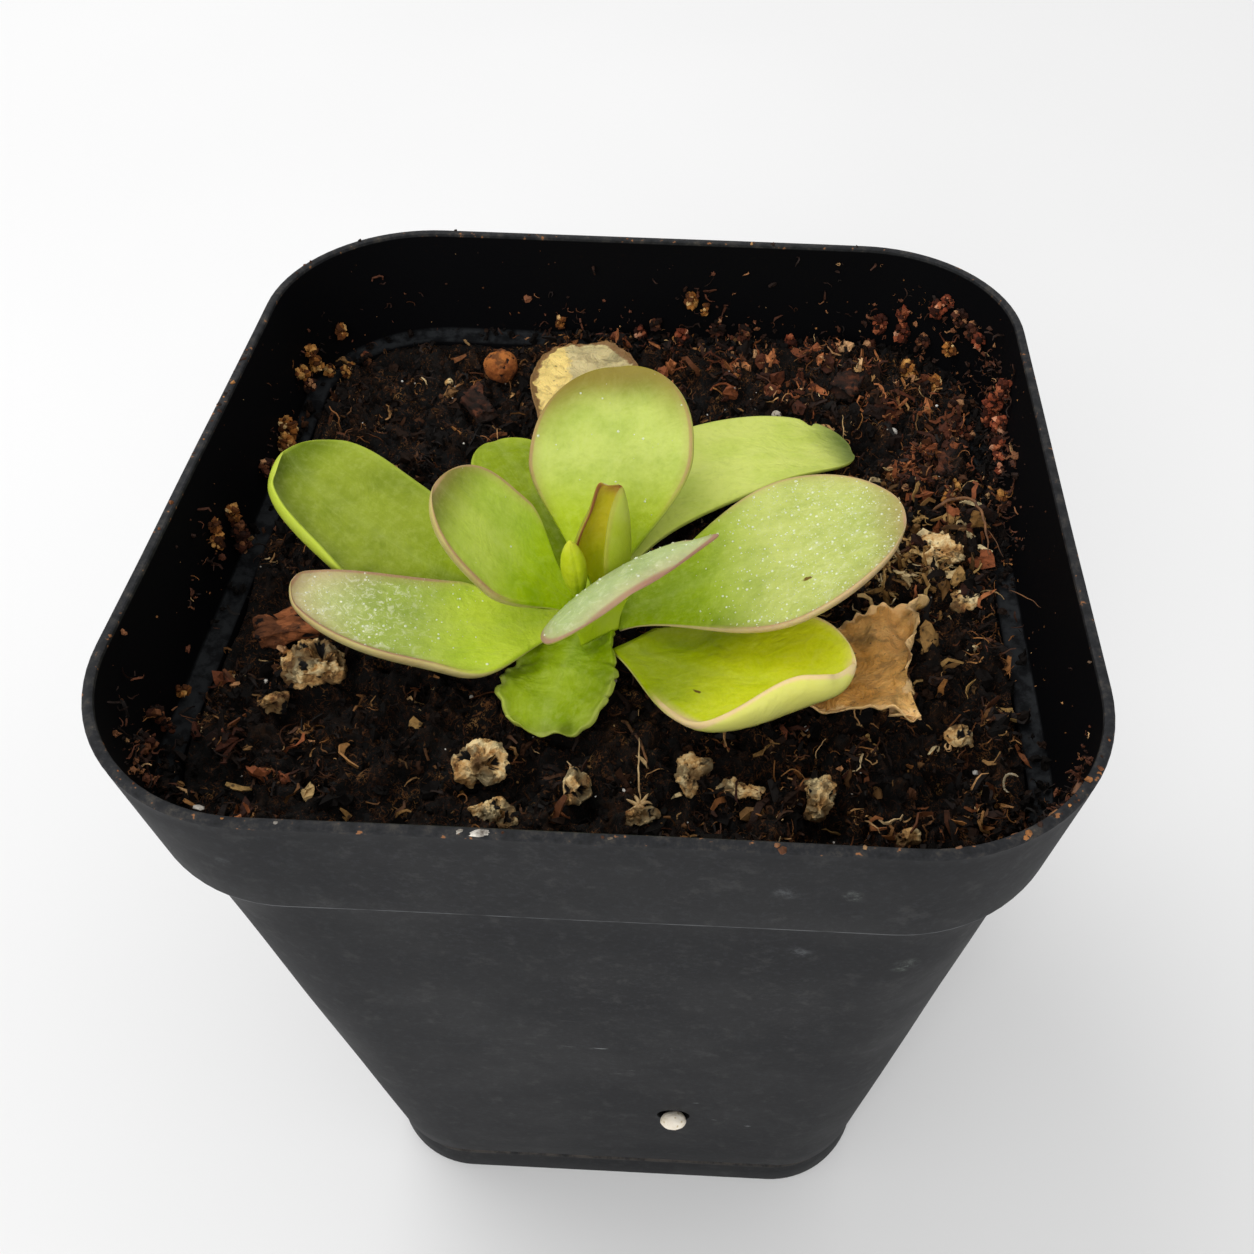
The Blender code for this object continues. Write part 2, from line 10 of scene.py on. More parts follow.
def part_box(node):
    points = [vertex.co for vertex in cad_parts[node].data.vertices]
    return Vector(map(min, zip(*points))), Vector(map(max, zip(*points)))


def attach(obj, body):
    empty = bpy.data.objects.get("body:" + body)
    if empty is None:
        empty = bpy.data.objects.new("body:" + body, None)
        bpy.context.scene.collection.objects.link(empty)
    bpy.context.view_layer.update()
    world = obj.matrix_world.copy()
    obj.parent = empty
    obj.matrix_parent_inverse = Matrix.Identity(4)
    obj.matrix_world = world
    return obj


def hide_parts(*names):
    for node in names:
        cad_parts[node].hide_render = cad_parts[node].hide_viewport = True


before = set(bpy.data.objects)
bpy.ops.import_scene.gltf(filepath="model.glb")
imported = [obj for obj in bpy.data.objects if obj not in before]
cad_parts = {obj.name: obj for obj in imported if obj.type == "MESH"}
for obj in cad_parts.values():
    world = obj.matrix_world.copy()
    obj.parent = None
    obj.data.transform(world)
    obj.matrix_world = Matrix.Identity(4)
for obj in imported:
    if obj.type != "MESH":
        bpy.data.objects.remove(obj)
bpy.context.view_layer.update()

mm = 0.001
scene = bpy.context.scene


# small helpers: colours, nodes, meshes

def tone(code):
    parts = [int(code[i:i + 2], 16) / 255 for i in (0, 2, 4)]
    return (*[c / 12.92 if c < 0.04045 else ((c + 0.055) / 1.055) ** 2.4 for c in parts], 1)


def treeOf(*values):
    return next(value.id_data for value in values if isinstance(value, bpy.types.NodeSocket))


def feed(socket, value):
    if isinstance(value, bpy.types.NodeSocket):
        socket.id_data.links.new(value, socket)
    elif value is not None:
        socket.default_value = value


def addNode(tree, kind, inputs=None, **settings):
    node = tree.nodes.new(kind)
    for name, value in settings.items():
        setattr(node, name, value)
    for key, value in (inputs or {}).items():
        feed(node.inputs[key], value)
    return node


def calc(operation, *values):
    return addNode(treeOf(*values), "ShaderNodeMath", dict(enumerate(values)), operation=operation).outputs[0]


def times(*values):
    return reduce(lambda first, second: calc("MULTIPLY", first, second), values)


def plus(*values):
    return reduce(lambda first, second: calc("ADD", first, second), values)


def minus(first, second):
    return calc("SUBTRACT", first, second)


def vectorCalc(operation, *values, scale=None):
    inputs = {**dict(enumerate(values)), **({} if scale is None else {"Scale": scale})}
    node = addNode(treeOf(*values), "ShaderNodeVectorMath", inputs, operation=operation)
    return node.outputs["Value" if operation == "DISTANCE" else "Vector"]


def combine(tree, **parts):
    return addNode(tree, "ShaderNodeCombineXYZ", parts).outputs[0]


def separate(vector, part):
    return addNode(vector.id_data, "ShaderNodeSeparateXYZ", {"Vector": vector}).outputs[part]


def spread(value, low, high, toLow=0.0, toHigh=1.0, smooth=True):
    return addNode(value.id_data, "ShaderNodeMapRange", {
        "Value": value, "From Min": low, "From Max": high, "To Min": toLow, "To Max": toHigh},
        interpolation_type="SMOOTHSTEP" if smooth else "LINEAR").outputs[0]


def noiseAt(where, scale, detail=2.0, roughness=0.5, distortion=0.0, output=0):
    return addNode(where.id_data, "ShaderNodeTexNoise", {
        "Vector": where, "Scale": scale, "Detail": detail, "Roughness": roughness,
        "Distortion": distortion}).outputs[output]


def cellsAt(where, scale, feature="F1"):
    return addNode(where.id_data, "ShaderNodeTexVoronoi", {"Vector": where, "Scale": scale},
                   feature=feature).outputs["Distance"]


def mixTones(factor, first, second, mode="MIX"):
    return addNode(treeOf(factor, first, second), "ShaderNodeMix", {0: factor, 6: first, 7: second},
                   data_type="RGBA", blend_type=mode).outputs[2]


def paint(colour, *coats):
    # each coat is how much of it shows and its tone, then a mode if it isn't plain
    for amount, code, *mode in coats:
        colour = mixTones(amount, colour, tone(code), *mode)
    return colour


def rampTones(value, stops, kind="LINEAR"):
    node = addNode(value.id_data, "ShaderNodeValToRGB", {"Fac": value})
    ramp = node.color_ramp
    ramp.interpolation = kind
    while len(ramp.elements) < len(stops):
        ramp.elements.new(1)
    for element, (place, colour) in zip(ramp.elements, stops):
        element.position = place
        element.color = tone(colour)
    return node.outputs[0]


def readAttribute(where, name):
    return addNode(where.id_data, "ShaderNodeAttribute", attribute_name=name).outputs["Fac"]


def bumpFrom(height, depth, strength=1.0, under=None):
    # depth in millimetres
    return addNode(height.id_data, "ShaderNodeBump", {
        "Height": height, "Distance": depth * mm, "Strength": strength,
        **({"Normal": under} if under else {})}).outputs[0]


def startMaterial(name):
    material = bpy.data.materials.new(name)
    material.use_nodes = True
    tree = material.node_tree
    where = addNode(tree, "ShaderNodeTexCoord").outputs["Object"]
    return material, tree.nodes["Principled BSDF"], where


sockets = {"colour": "Base Color", "rough": "Roughness", "gloss": "Specular IOR Level", "bump": "Normal",
           "glow": "Subsurface Weight", "glowReach": "Subsurface Radius", "glowScale": "Subsurface Scale",
           "sheen": "Specular Tint", "clear": "Transmission Weight", "bending": "IOR"}


def dress(shader, **values):
    for name, value in values.items():
        feed(shader.inputs[sockets[name]], value)


def addPiece(name, mesh, material, slot, *nodes):
    # a piece without a slot stays off the root: the floor, or a helper that's dropped later
    piece = bpy.data.objects.new(name, mesh)
    scene.collection.objects.link(piece)
    mesh.materials.clear()
    if material:
        mesh.materials.append(material)
    if slot:
        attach(piece, "root")
        if nodes:
            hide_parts(*nodes)
    return piece


def addHost(name, mesh):
    return addPiece(name, mesh, None, None)


def dropHost(host):
    bpy.data.objects.remove(host, do_unlink=True)


def meshFromRings(name, rings, closed=True, backwards=False):
    # rings: (count, points, 3), each ring a closed loop
    count, points = rings.shape[:2]
    index = np.arange(count * points).reshape(count, points)
    turned = np.roll(index, -1, axis=1)
    quads = np.stack([index[:-1], turned[:-1], turned[1:], index[1:]], -1)[:, :, ::-1 if backwards else 1]
    ends = [index[0][::-1].tolist(), index[-1].tolist()] if closed else []
    mesh = bpy.data.meshes.new(name)
    mesh.from_pydata(rings.reshape(-1, 3).tolist(), [], quads.reshape(-1, 4).tolist() + ends)
    return mesh


def meshFromBm(name, bm):
    mesh = bpy.data.meshes.new(name)
    bm.to_mesh(mesh)
    bm.free()
    return mesh


def turnOutwards(mesh, sharpest=None):
    bm = bmesh.new()
    bm.from_mesh(mesh)
    bmesh.ops.recalc_face_normals(bm, faces=bm.faces)
    bm.to_mesh(mesh)
    bm.free()
    mesh.shade_smooth()
    if sharpest:
        mesh.set_sharp_from_angle(angle=math.radians(sharpest))
    return mesh


def readPoints(mesh):
    # all vertices in millimetres
    points = np.empty(len(mesh.vertices) * 3)
    mesh.vertices.foreach_get("co", points)
    return points.reshape(-1, 3) / mm


def storeNumbers(mesh, name, values):
    mesh.attributes.new(name, "FLOAT", "POINT").data.foreach_set("value",
                                                                 np.asarray(values, np.float32).ravel())


def easeStep(value):
    value = np.clip(value, 0, 1)
    return value * value * (3 - 2 * value)


def noiseOver(x, y, z):
    # smooth noise at many places
    return np.array([noise.noise(Vector(spot)) for spot in zip(*np.broadcast_arrays(x, y, z))])


def hill(x, y, middleX, middleY, wideX, wideY):
    return np.exp(-((x - middleX) / wideX) ** 2 - ((y - middleY) / wideY) ** 2)


# small helpers: geometry node trees

def startTree(name, **inputs):
    # each input is a socket kind and its first value
    tree = bpy.data.node_groups.new(name, "GeometryNodeTree")
    tree.interface.new_socket(name="Geometry", in_out="INPUT", socket_type="NodeSocketGeometry")
    for label, (kind, value) in inputs.items():
        socket = tree.interface.new_socket(name=label, in_out="INPUT", socket_type="NodeSocket" + kind)
        if value is not None:
            socket.default_value = value
    tree.interface.new_socket(name="Geometry", in_out="OUTPUT", socket_type="NodeSocketGeometry")
    return tree, tree.nodes.new("NodeGroupInput").outputs


def readNumbers(tree, name):
    return addNode(tree, "GeometryNodeInputNamedAttribute", {"Name": name}, data_type="FLOAT").outputs[0]


def keepNumbers(geometry, name, value, domain="POINT"):
    return addNode(geometry.id_data, "GeometryNodeStoreNamedAttribute", {
        "Geometry": geometry, "Name": name, "Value": value}, data_type="FLOAT", domain=domain).outputs[0]


def movePoints(geometry, offset):
    return addNode(geometry.id_data, "GeometryNodeSetPosition",
                   {"Geometry": geometry, "Offset": offset}).outputs[0]


def runTree(tree, host, name, **values):
    # runs a tree on a host object and gives back the plain mesh
    modifier = host.modifiers.new(tree.name, "NODES")
    modifier.node_group = tree
    for item in tree.interface.items_tree:
        if item.in_out == "INPUT" and item.name in values:
            modifier[item.identifier] = values[item.name]
    bpy.context.view_layer.update()
    shaped = host.evaluated_get(bpy.context.evaluated_depsgraph_get())
    mesh = bpy.data.meshes.new_from_object(shaped)
    mesh.name = name
    host.modifiers.remove(modifier)
    return mesh


# camera, floor and light

view = {"place": (10.2, -103.1, 189.8), "down": 42.38, "left": 1.49, "roll": 1.36,
        "lens": 38.0, "sensor": 36, "shift": (-0.0558, -0.1013), "reach": (0.005, 20)}


def makeCamera():
    camera = bpy.data.objects.new("camera", bpy.data.cameras.new("camera"))
    scene.collection.objects.link(camera)
    camera.data.sensor_width = view["sensor"]
    camera.data.lens = view["lens"]
    camera.data.shift_x, camera.data.shift_y = view["shift"]
    camera.data.clip_start, camera.data.clip_end = view["reach"]
    turns = [Matrix.Rotation(math.radians(angle), 4, axis)
             for angle, axis in ((view["left"], "Z"), (90 - view["down"], "X"), (view["roll"], "Z"))]
    camera.matrix_world = Matrix.Translation(Vector(view["place"]) * mm) @ (turns[0] @ turns[1] @ turns[2])
    scene.camera = camera


light = {"sky": 0.72, "aim": (0, 0, 0.06), "floorTones": ("ededed", "efefef"), "floorHalf": 3,
         "lamps": {"top": dict(place=(-0.5, 0.3, 0.95), size=0.8, watts=3.6),
                   "side": dict(place=(-0.3, -1.1, 0.8), size=0.9, watts=7.5)}}


def makeStage():
    scene.view_settings.view_transform = "Standard"
    world = bpy.data.worlds.new("softSky")
    world.use_nodes = True
    background = world.node_tree.nodes["Background"]
    background.inputs["Color"].default_value = (1, 1, 1, 1)
    background.inputs["Strength"].default_value = light["sky"]
    scene.world = world
    for name, values in light["lamps"].items():
        lamp = bpy.data.lights.new(name + "Light", "AREA")
        lamp.shape, lamp.size, lamp.energy = "DISK", values["size"], values["watts"]
        holder = bpy.data.objects.new(name + "Light", lamp)
        scene.collection.objects.link(holder)
        place = Vector(values["place"])
        holder.location = place
        holder.rotation_euler = (Vector(light["aim"]) - place).to_track_quat("-Z", "Y").to_euler()
    material, shader, where = startMaterial("paleFloor")
    patch = spread(noiseAt(where, 6, 2), 0.3, 0.7)
    dress(shader, colour=mixTones(patch, *[tone(code) for code in light["floorTones"]]), rough=0.9, gloss=0.1)
    mesh = bpy.data.meshes.new("floor")
    half = light["floorHalf"]
    corners = [(-half, -half, 0), (half, -half, 0), (half, half, 0), (-half, half, 0)]
    mesh.from_pydata(corners, [], [(0, 1, 2, 3)])
    addPiece("floor", mesh, material, None)


makeCamera()
makeStage()
print("camera, floor and light")


# pot

pot = {"height": 100, "rim": 45, "rimCorner": 18, "wall": 1.0, "band": 15, "bandHalf": 43.3,
       "bodyTop": 41.2, "bodyTopCorner": 14, "bodyFoot": 32.1, "bodyFootCorner": 11.5,
       "foot": 5.4, "footHalf": 31.95, "floor": 1.4, "cornerSteps": 20, "sideSteps": 10,
       "rubs": ((16.8, -44.2, 92.7, 1.6, 0.45, "7c7f82"), (22.3, -44.2, 92.6, 1.4, 0.5, "8a8f8a"),
                (19.1, -40.2, 76.2, 1.5, 0.5, "74777a"), (29.4, -39.9, 73.6, 1.9, 0.55, "a3ada3"),
                (-30, -43.9, 93, 1.3, 0.4, "6d7072"), (-14, -37, 55, 1.2, 0.35, "6d7072")),
       "sideHole": (7.3, 25, 2.0), "floorHole": 2.6, "floorSpread": 19, "lipFrom": 99.55,
       "wobble": 0.0022, "sharpest": 38}


def outline(half, corner, height, cornerSteps=pot["cornerSteps"], sideSteps=pot["sideSteps"]):
    # points round a square with round corners
    straight = half - corner
    side = [(half, straight * (2 * i / sideSteps - 1)) for i in range(1, sideSteps)]
    angles = np.radians(np.linspace(0, 90, cornerSteps + 1))
    side += [(straight + corner * math.cos(a), straight + corner * math.sin(a)) for a in angles]
    side = np.array(side)
    ring = np.concatenate([side @ np.array([[math.cos(a), math.sin(a)], [-math.sin(a), math.cos(a)]])
                           for a in (0, math.pi / 2, math.pi, 1.5 * math.pi)])
    return np.column_stack([ring, np.full(len(ring), height)])


def outlineReach(x, y, roundness=0.37):
    # half width of the round-cornered square that passes through each place
    big, small = np.maximum(np.abs(x), np.abs(y)), np.minimum(np.abs(x), np.abs(y))
    half = big.copy()
    for _ in range(30):
        corner = half * roundness
        over = np.maximum(small - (half - corner), 0)
        side = np.maximum(corner ** 2 - over ** 2, 0)
        half = np.where(over > 0, big + corner - np.sqrt(side), big)
    return half


def potSections():
    # half width, corner radius and height: up the outside, over the lip and down the inside
    top, rim, corner, wall = (pot[key] for key in ("height", "rim", "rimCorner", "wall"))
    foot, footHalf, bodyFoot, footCorner = (pot[key] for key in ("foot", "footHalf", "bodyFoot",
                                                                 "bodyFootCorner"))
    bodyTop, topCorner, bandHalf = (pot[key] for key in ("bodyTop", "bodyTopCorner", "bandHalf"))
    bandLow = top - pot["band"]
    sections = [
        (footHalf - 0.5, 11.5, 0), (footHalf - 0.15, 11.85, 0.12), (footHalf, 12, 0.5),
        (footHalf + 0.05, 12, 3.2), (footHalf, 12, foot - 0.75),
        (footHalf - 0.35, 11.8, foot - 0.55), (footHalf - 0.35, 11.7, foot - 0.1),
        (bodyFoot - 0.15, 11.6, foot + 0.05), (bodyFoot, footCorner, foot + 0.4)]
    sections += [(bodyFoot + (bodyTop - bodyFoot) * share, footCorner + (topCorner - footCorner) * share,
                  foot + 0.4 + (bandLow - 0.7 - foot - 0.4) * share) for share in np.linspace(0.04, 1, 12)]
    sections += [
        (bodyTop + 0.25, topCorner, bandLow - 0.15), (bodyTop + 0.7, 14.6, bandLow),
        (bandHalf - 0.45, 16.6, bandLow), (bandHalf - 0.1, 16.9, bandLow + 0.15),
        (bandHalf, 17, bandLow + 0.5)]
    sections += [(bandHalf + (rim - bandHalf) * share, 17 + (corner - 17) * share,
                  bandLow + 0.5 + (top - 0.9 - bandLow) * share) for share in (0.25, 0.5, 0.75, 0.92)]
    inner = rim - wall
    sections += [
        (rim - 0.05, corner, top - 0.5), (rim, corner, top - 0.32), (rim - 0.06, corner, top - 0.1),
        (rim - 0.22, corner - 0.2, top), (inner + 0.2, corner - wall, top),
        (inner + 0.05, corner - wall, top - 0.12), (inner, corner - wall, top - 0.36),
        (inner - 0.01, corner - wall, top - 0.5)]
    sections += [(inner - 1.6 * share, corner - wall - 1.0 * share, top - 0.4 - 13.6 * share)
                 for share in (0.3, 0.6, 0.9)]
    sections += [
        (bandHalf - 0.85, 16, bandLow + 1.05), (bandHalf - 1.1, 15.8, bandLow + 0.85),
        (bodyTop - 0.55, 13.3, bandLow + 0.75), (bodyTop - 0.85, 13.1, bandLow + 0.6),
        (bodyTop - wall, 13, bandLow + 0.2)]
    sections += [(bodyTop - wall - 9.1 * share, 13 - 2.5 * share, bandLow - 78 * share)
                 for share in (0.3, 0.6, 0.95)]
    return sections + [(footHalf - 1.1, 10.6, pot["floor"])]


def makePotMaterial():
    material, shader, where = startMaterial("potPlastic")
    height = separate(where, "Z")

    def level(low, high):
        return spread(height, low * mm, high * mm)

    cloud = noiseAt(where, 55, 5, 0.6)
    colour = rampTones(cloud, [(0.3, "0a0b0e"), (0.5, "0e0f12"), (0.72, "141518")])
    fleck = noiseAt(where, 1500, 3, 0.7)
    # scuffs: thin streaks, mostly on the band and low on the body
    streaks = addNode(where.id_data, "ShaderNodeMapping", {
        "Vector": where, "Scale": (160, 160, 900), "Rotation": (0.2, 0.5, 0.3)}).outputs[0]
    thin = spread(noiseAt(streaks, 1, 4, 0.7, 0.6), 0.66, 0.74)
    # a painted highlight along the band's lower edge, partly wear, and a few rubbed spots
    line = times(level(85.45, 85.25), level(84.9, 85.0), spread(noiseAt(where, 300, 3), 0.3, 0.6), 0.55)
    colour = paint(
        colour, (times(spread(noiseAt(where, 420, 6, 0.7), 0.52, 0.72), 0.3), "424241"),
        (spread(fleck, 0.5, 0.68, 0.0, 0.3), "2a2c30"), (spread(fleck, 0.48, 0.34, 0.0, 0.35), "0b0c0e"),
        (times(thin, spread(noiseAt(where, 38, 2), 0.56, 0.66), 0.6), "8d8f90"), (line, "6f7173"))
    for x, y, z, reach, strength, shade in pot["rubs"]:
        away = vectorCalc("DISTANCE", where, (x * mm, y * mm, z * mm))
        rub = times(spread(away, reach * mm, 0.2 * reach * mm),
                    spread(noiseAt(where, 700, 5, 0.8), 0.4, 0.75))
        colour = paint(colour, (times(rub, strength * 0.7), shade))
    # soil stain on the foot's step; inside the pot the walls get painted shade, nearly black, with a paler
    # ledge and soil grime
    stain = times(level(5.6, 4.9), level(4.2, 5.2), spread(noiseAt(where, 700, 5, 0.65), 0.35, 0.6), 0.6)
    inside = readAttribute(where, "inside")
    ledge = times(level(85.5, 85.8), level(86.6, 86.15), spread(noiseAt(where, 500, 5, 0.7), 0.62, 0.42,
                                                                0.2, 0.85))
    grime = times(spread(noiseAt(where, 900, 6, 0.75), 0.6, 0.75), inside, 0.5)
    colour = paint(colour, (stain, "6a625a"), (inside, "08080a"), (times(ledge, inside), "2c2e30"),
                   (grime, "1c110b"))
    worn = rampTones(noiseAt(where, 650, 6, 0.75),
                     [(0.36, "0e0f10"), (0.5, "1e1f22"), (0.64, "3a3733"), (0.76, "62594e")])
    worn = paint(worn, (spread(noiseAt(where, 1300, 2), 0.66, 0.72), "8a5c38"))
    # the gloss is lowered inside as well, so the painted shade there stays dark
    dress(shader, colour=mixTones(readAttribute(where, "lip"), colour, worn),
          rough=spread(cloud, 0.3, 0.7, 0.6, 0.74), gloss=spread(inside, 0.0, 1.0, 0.23, 0.04),
          bump=bumpFrom(noiseAt(where, 2600, 3, 0.6), 0.02, 0.5, bumpFrom(cloud, 0.25, 0.35)))
    return material


def makePot():
    rings = np.array([outline(*section) for section in potSections()])
    wobble = np.array([[noise.noise(Vector(point) * 0.05) for point in ring] for ring in rings])
    rings[:, :, :2] *= (1 + pot["wobble"] * wobble * easeStep(rings[:, :, 2] / 20))[:, :, None]
    body = addHost("potBlank", turnOutwards(meshFromRings("potShell", rings * mm), pot["sharpest"]))
    across, up, radius = pot["sideHole"]
    wall = pot["bodyFoot"] + (pot["bodyTop"] - pot["bodyFoot"]) * (up - pot["foot"]) / 79.6
    drills = [((across, -wall + 0.5, up), radius, (math.radians(90), 0, 0))]
    drills += [((i * pot["floorSpread"], j * pot["floorSpread"], 0.7), pot["floorHole"], (0, 0, 0))
               for i in (-1, 0, 1) for j in (-1, 0, 1) if i or j]
    helpers = [body]
    for place, size, turn in drills:
        bm = bmesh.new()
        bmesh.ops.create_cone(bm, cap_ends=True, segments=40, radius1=size * mm, radius2=size * mm,
                              depth=6 * mm)
        drill = addHost("drill", meshFromBm("drill", bm))
        drill.location = Vector(place) * mm
        drill.rotation_euler = turn
        helpers.append(drill)
        body.modifiers.new("cut", "BOOLEAN").object = drill
    bpy.context.view_layer.update()
    mesh = bpy.data.meshes.new_from_object(body.evaluated_get(bpy.context.evaluated_depsgraph_get()))
    for helper in helpers:
        dropHost(helper)
    mesh.shade_smooth()
    mesh.set_sharp_from_angle(angle=math.radians(pot["sharpest"]))
    x, y, z = readPoints(mesh).T
    # a vertex is inside when it lies nearer the middle than the wall at its height
    levels = [0, pot["foot"], 84.9, 85, 100]
    wide = outlineReach(x, y, np.interp(z, levels, [0.38, 0.355, 0.335, 0.392, 0.4]))
    wallHere = np.interp(z, levels, [31.8, 31.85, 41.2, 43.3, 45])
    storeNumbers(mesh, "inside", (wide < wallHere - 0.55) & (z > 1) & (z < pot["lipFrom"]))
    storeNumbers(mesh, "lip", z > pot["lipFrom"])
    return addPiece("potShell", mesh, makePotMaterial(), "pot_plastic", "pot")


potShell = makePot()
print("pot", len(potShell.data.polygons))


# growing mix: the body with its rough top, then the loose bits on it

mix = {"level": 84.4, "half": 39.9, "corner": 12.7, "cells": 230, "wallTop": 82.6,
       "bottomHalf": 29.5, "floor": 1.9,
       "mounds": ((38, 10, 9, 2.6), (24, 37, 11, 2.2), (-4, 38, 9, 1.2), (34, -14, 9, 1.0),
                  (-36, -2, 7, 0.8), (4, -37, 14, 0.9)),
       "relief": 1.25, "bank": 1.1, "seed": 4}


def mixHeight(x, y):
    height = 0.45 * np.sin(0.31 * x + 1.1) * np.cos(0.27 * y) + 0.25 * np.sin(0.63 * x - 0.52 * y)
    # the edge banks up against the ledge
    height = height + mix["bank"] * easeStep((outlineReach(x, y) - 33.5) / 5.5)
    for centreX, centreY, wide, top in mix["mounds"]:
        height = height + top * np.exp(-((x - centreX) ** 2 + (y - centreY) ** 2) / wide ** 2)
    return mix["level"] + height


def seededPlace(tree, place, seed, *axes):
    # the place in millimetres, shifted by the seed
    return vectorCalc("ADD", place, combine(tree, **{axis: seed for axis in axes}))


def warpPlace(where, scale, detail, amount):
    # pushes a place about by a slow noise, so cells on it lose their straight sides
    return vectorCalc("ADD", where, vectorCalc("SCALE", noiseAt(where, scale, detail, output="Color"),
                                               scale=amount))


def makeMixTree():
    # lumps, crumbs and creases pushed up and down from the host's own surface
    tree, given = startTree("peatRelief", relief=("Float", 1.0), seed=("Float", 0.0))
    place = tree.nodes.new("GeometryNodeInputPosition").outputs[0]
    where = seededPlace(tree, vectorCalc("SCALE", place, scale=1000.0), given["seed"], "X")
    bent = warpPlace(where, 0.5, 3.0, 2.2)
    total = plus(times(minus(0.5, cellsAt(bent, 0.30, "SMOOTH_F1")), 3.2),
                 times(minus(0.45, cellsAt(bent, 0.75)), 1.15), times(minus(0.45, cellsAt(bent, 1.7)), 0.5),
                 times(minus(noiseAt(where, 0.13, 3, 0.55), 0.5), 2.6),
                 times(minus(0.09, calc("ABSOLUTE", minus(noiseAt(bent, 0.3, 3, 0.55), 0.5))), 7.0))
    relief = times(total, given["relief"], readNumbers(tree, "top"))
    moved = movePoints(given["Geometry"], combine(tree, Z=times(relief, mm)))
    addNode(tree, "NodeGroupOutput", {"Geometry": keepNumbers(moved, "relief", relief)})
    return tree


def makeMixMaterial():
    material, shader, where = startMaterial("peat")
    dark = mixTones(spread(noiseAt(where, 170, 4, 0.6), 0.4, 0.65), tone("030201"), tone("0c0704"))
    crest = times(spread(readAttribute(where, "relief"), 0.2, 1.6),
                  spread(noiseAt(where, 1500, 4, 0.7), 0.35, 0.65))
    colour = paint(dark, (times(crest, 0.65), "34200f"))
    # matted threads in the surface: thin bright lines broken up by a slower noise
    threads = []
    for scale, thin, offset in ((420, 0.016, 3.0), (760, 0.022, 9.0), (1300, 0.03, 15.0)):
        moved = vectorCalc("ADD", where, (offset, offset, 0))
        away = calc("ABSOLUTE", minus(noiseAt(moved, scale, 2, 0.5, 1.3), 0.5))
        threads.append(times(spread(away, thin, thin * 0.3),
                             spread(noiseAt(moved, scale * 0.6, 2), 0.46, 0.58)))
    thread = reduce(lambda first, second: calc("MAXIMUM", first, second), threads)
    threadTone = rampTones(noiseAt(where, 260, 4, 0.7),
                           [(0.36, "24140a"), (0.5, "4e2e18"), (0.6, "80532c"), (0.7, "b98c54")])
    colour = mixTones(times(thread, 0.9), colour, threadTone)
    colour = paint(colour, (times(spread(noiseAt(where, 2300, 2, 0.6), 0.67, 0.73), 0.6), "7a5330"))
    dress(shader, colour=colour, rough=spread(noiseAt(where, 600, 3), 0.3, 0.7, 0.5, 0.95), gloss=0.2,
          bump=bumpFrom(thread, 0.25, 0.8, bumpFrom(noiseAt(where, 1300, 5, 0.75), 0.5, 0.8)))
    return material


def makeMix():
    cells, half = mix["cells"], mix["half"]
    line = np.linspace(-1, 1, cells + 1)
    u, v = np.meshgrid(line, line, indexing="ij")
    reach = np.maximum(np.abs(u), np.abs(v))
    low = np.minimum(np.abs(u), np.abs(v)) / np.maximum(reach, 1e-9)
    # how far the round-cornered outline lies along each direction
    corner = mix["corner"] / half
    straight = 1 - mix["corner"] / half
    a = 1 + low ** 2
    b = -2 * straight * (1 + low)
    c = 2 * straight ** 2 - corner ** 2
    far = np.where(low > straight, (-b + np.sqrt(np.maximum(b * b - 4 * a * c, 0))) / (2 * a), 1)
    scale = half * (1 + (far - 1) * reach ** 2.5)
    x, y = u * scale, v * scale
    top = easeStep((1 - reach) / 0.05) * 0.85 + 0.15
    top = top * (1 + 0.4 * easeStep((x - 12) / 14))
    index = np.arange((cells + 1) ** 2).reshape(cells + 1, cells + 1)
    faces = np.stack([index[:-1, :-1], index[1:, :-1], index[1:, 1:], index[:-1, 1:]], -1).reshape(-1,
                                                                                                   4).tolist()
    rim = np.concatenate([index[:-1, 0], index[-1, :-1], index[:0:-1, -1], index[0, :0:-1]])
    points = [np.column_stack([x.ravel(), y.ravel(), mixHeight(x, y).ravel()])]
    # the side wall and the bottom, inside the pot
    last, start = rim, len(points[0])
    for share, height in ((mix["half"] - 0.3, mix["wallTop"]), (mix["bottomHalf"], mix["floor"])):
        spots = points[0][rim].copy()
        spots[:, :2] *= share / half
        spots[:, 2] = height
        points.append(spots)
        ring = np.arange(start, start + len(rim))
        faces += np.stack([last, ring, np.roll(ring, -1), np.roll(last, -1)], -1).tolist()
        last, start = ring, start + len(rim)
    faces.append(last[::-1].tolist())
    mesh = bpy.data.meshes.new("mixHost")
    mesh.from_pydata((np.concatenate(points) * mm).tolist(), [], faces)
    turnOutwards(mesh)
    storeNumbers(mesh, "top", np.concatenate([top.ravel(), np.zeros(start - top.size)]))
    host = addHost("mixHost", mesh)
    shaped = runTree(makeMixTree(), host, "mixBody", relief=mix["relief"], seed=float(mix["seed"]))
    dropHost(host)
    return addPiece("mixBody", shaped, makeMixMaterial(), "growing_mix", "growing_mix")


mixBody = makeMix()
print("growing mix", len(mixBody.data.polygons))


# loose shapes that the scatters repeat

def makeCollection(name, meshes):
    group = bpy.data.collections.new(name)
    for mesh in meshes:
        group.objects.link(bpy.data.objects.new(mesh.name, mesh))
    return group


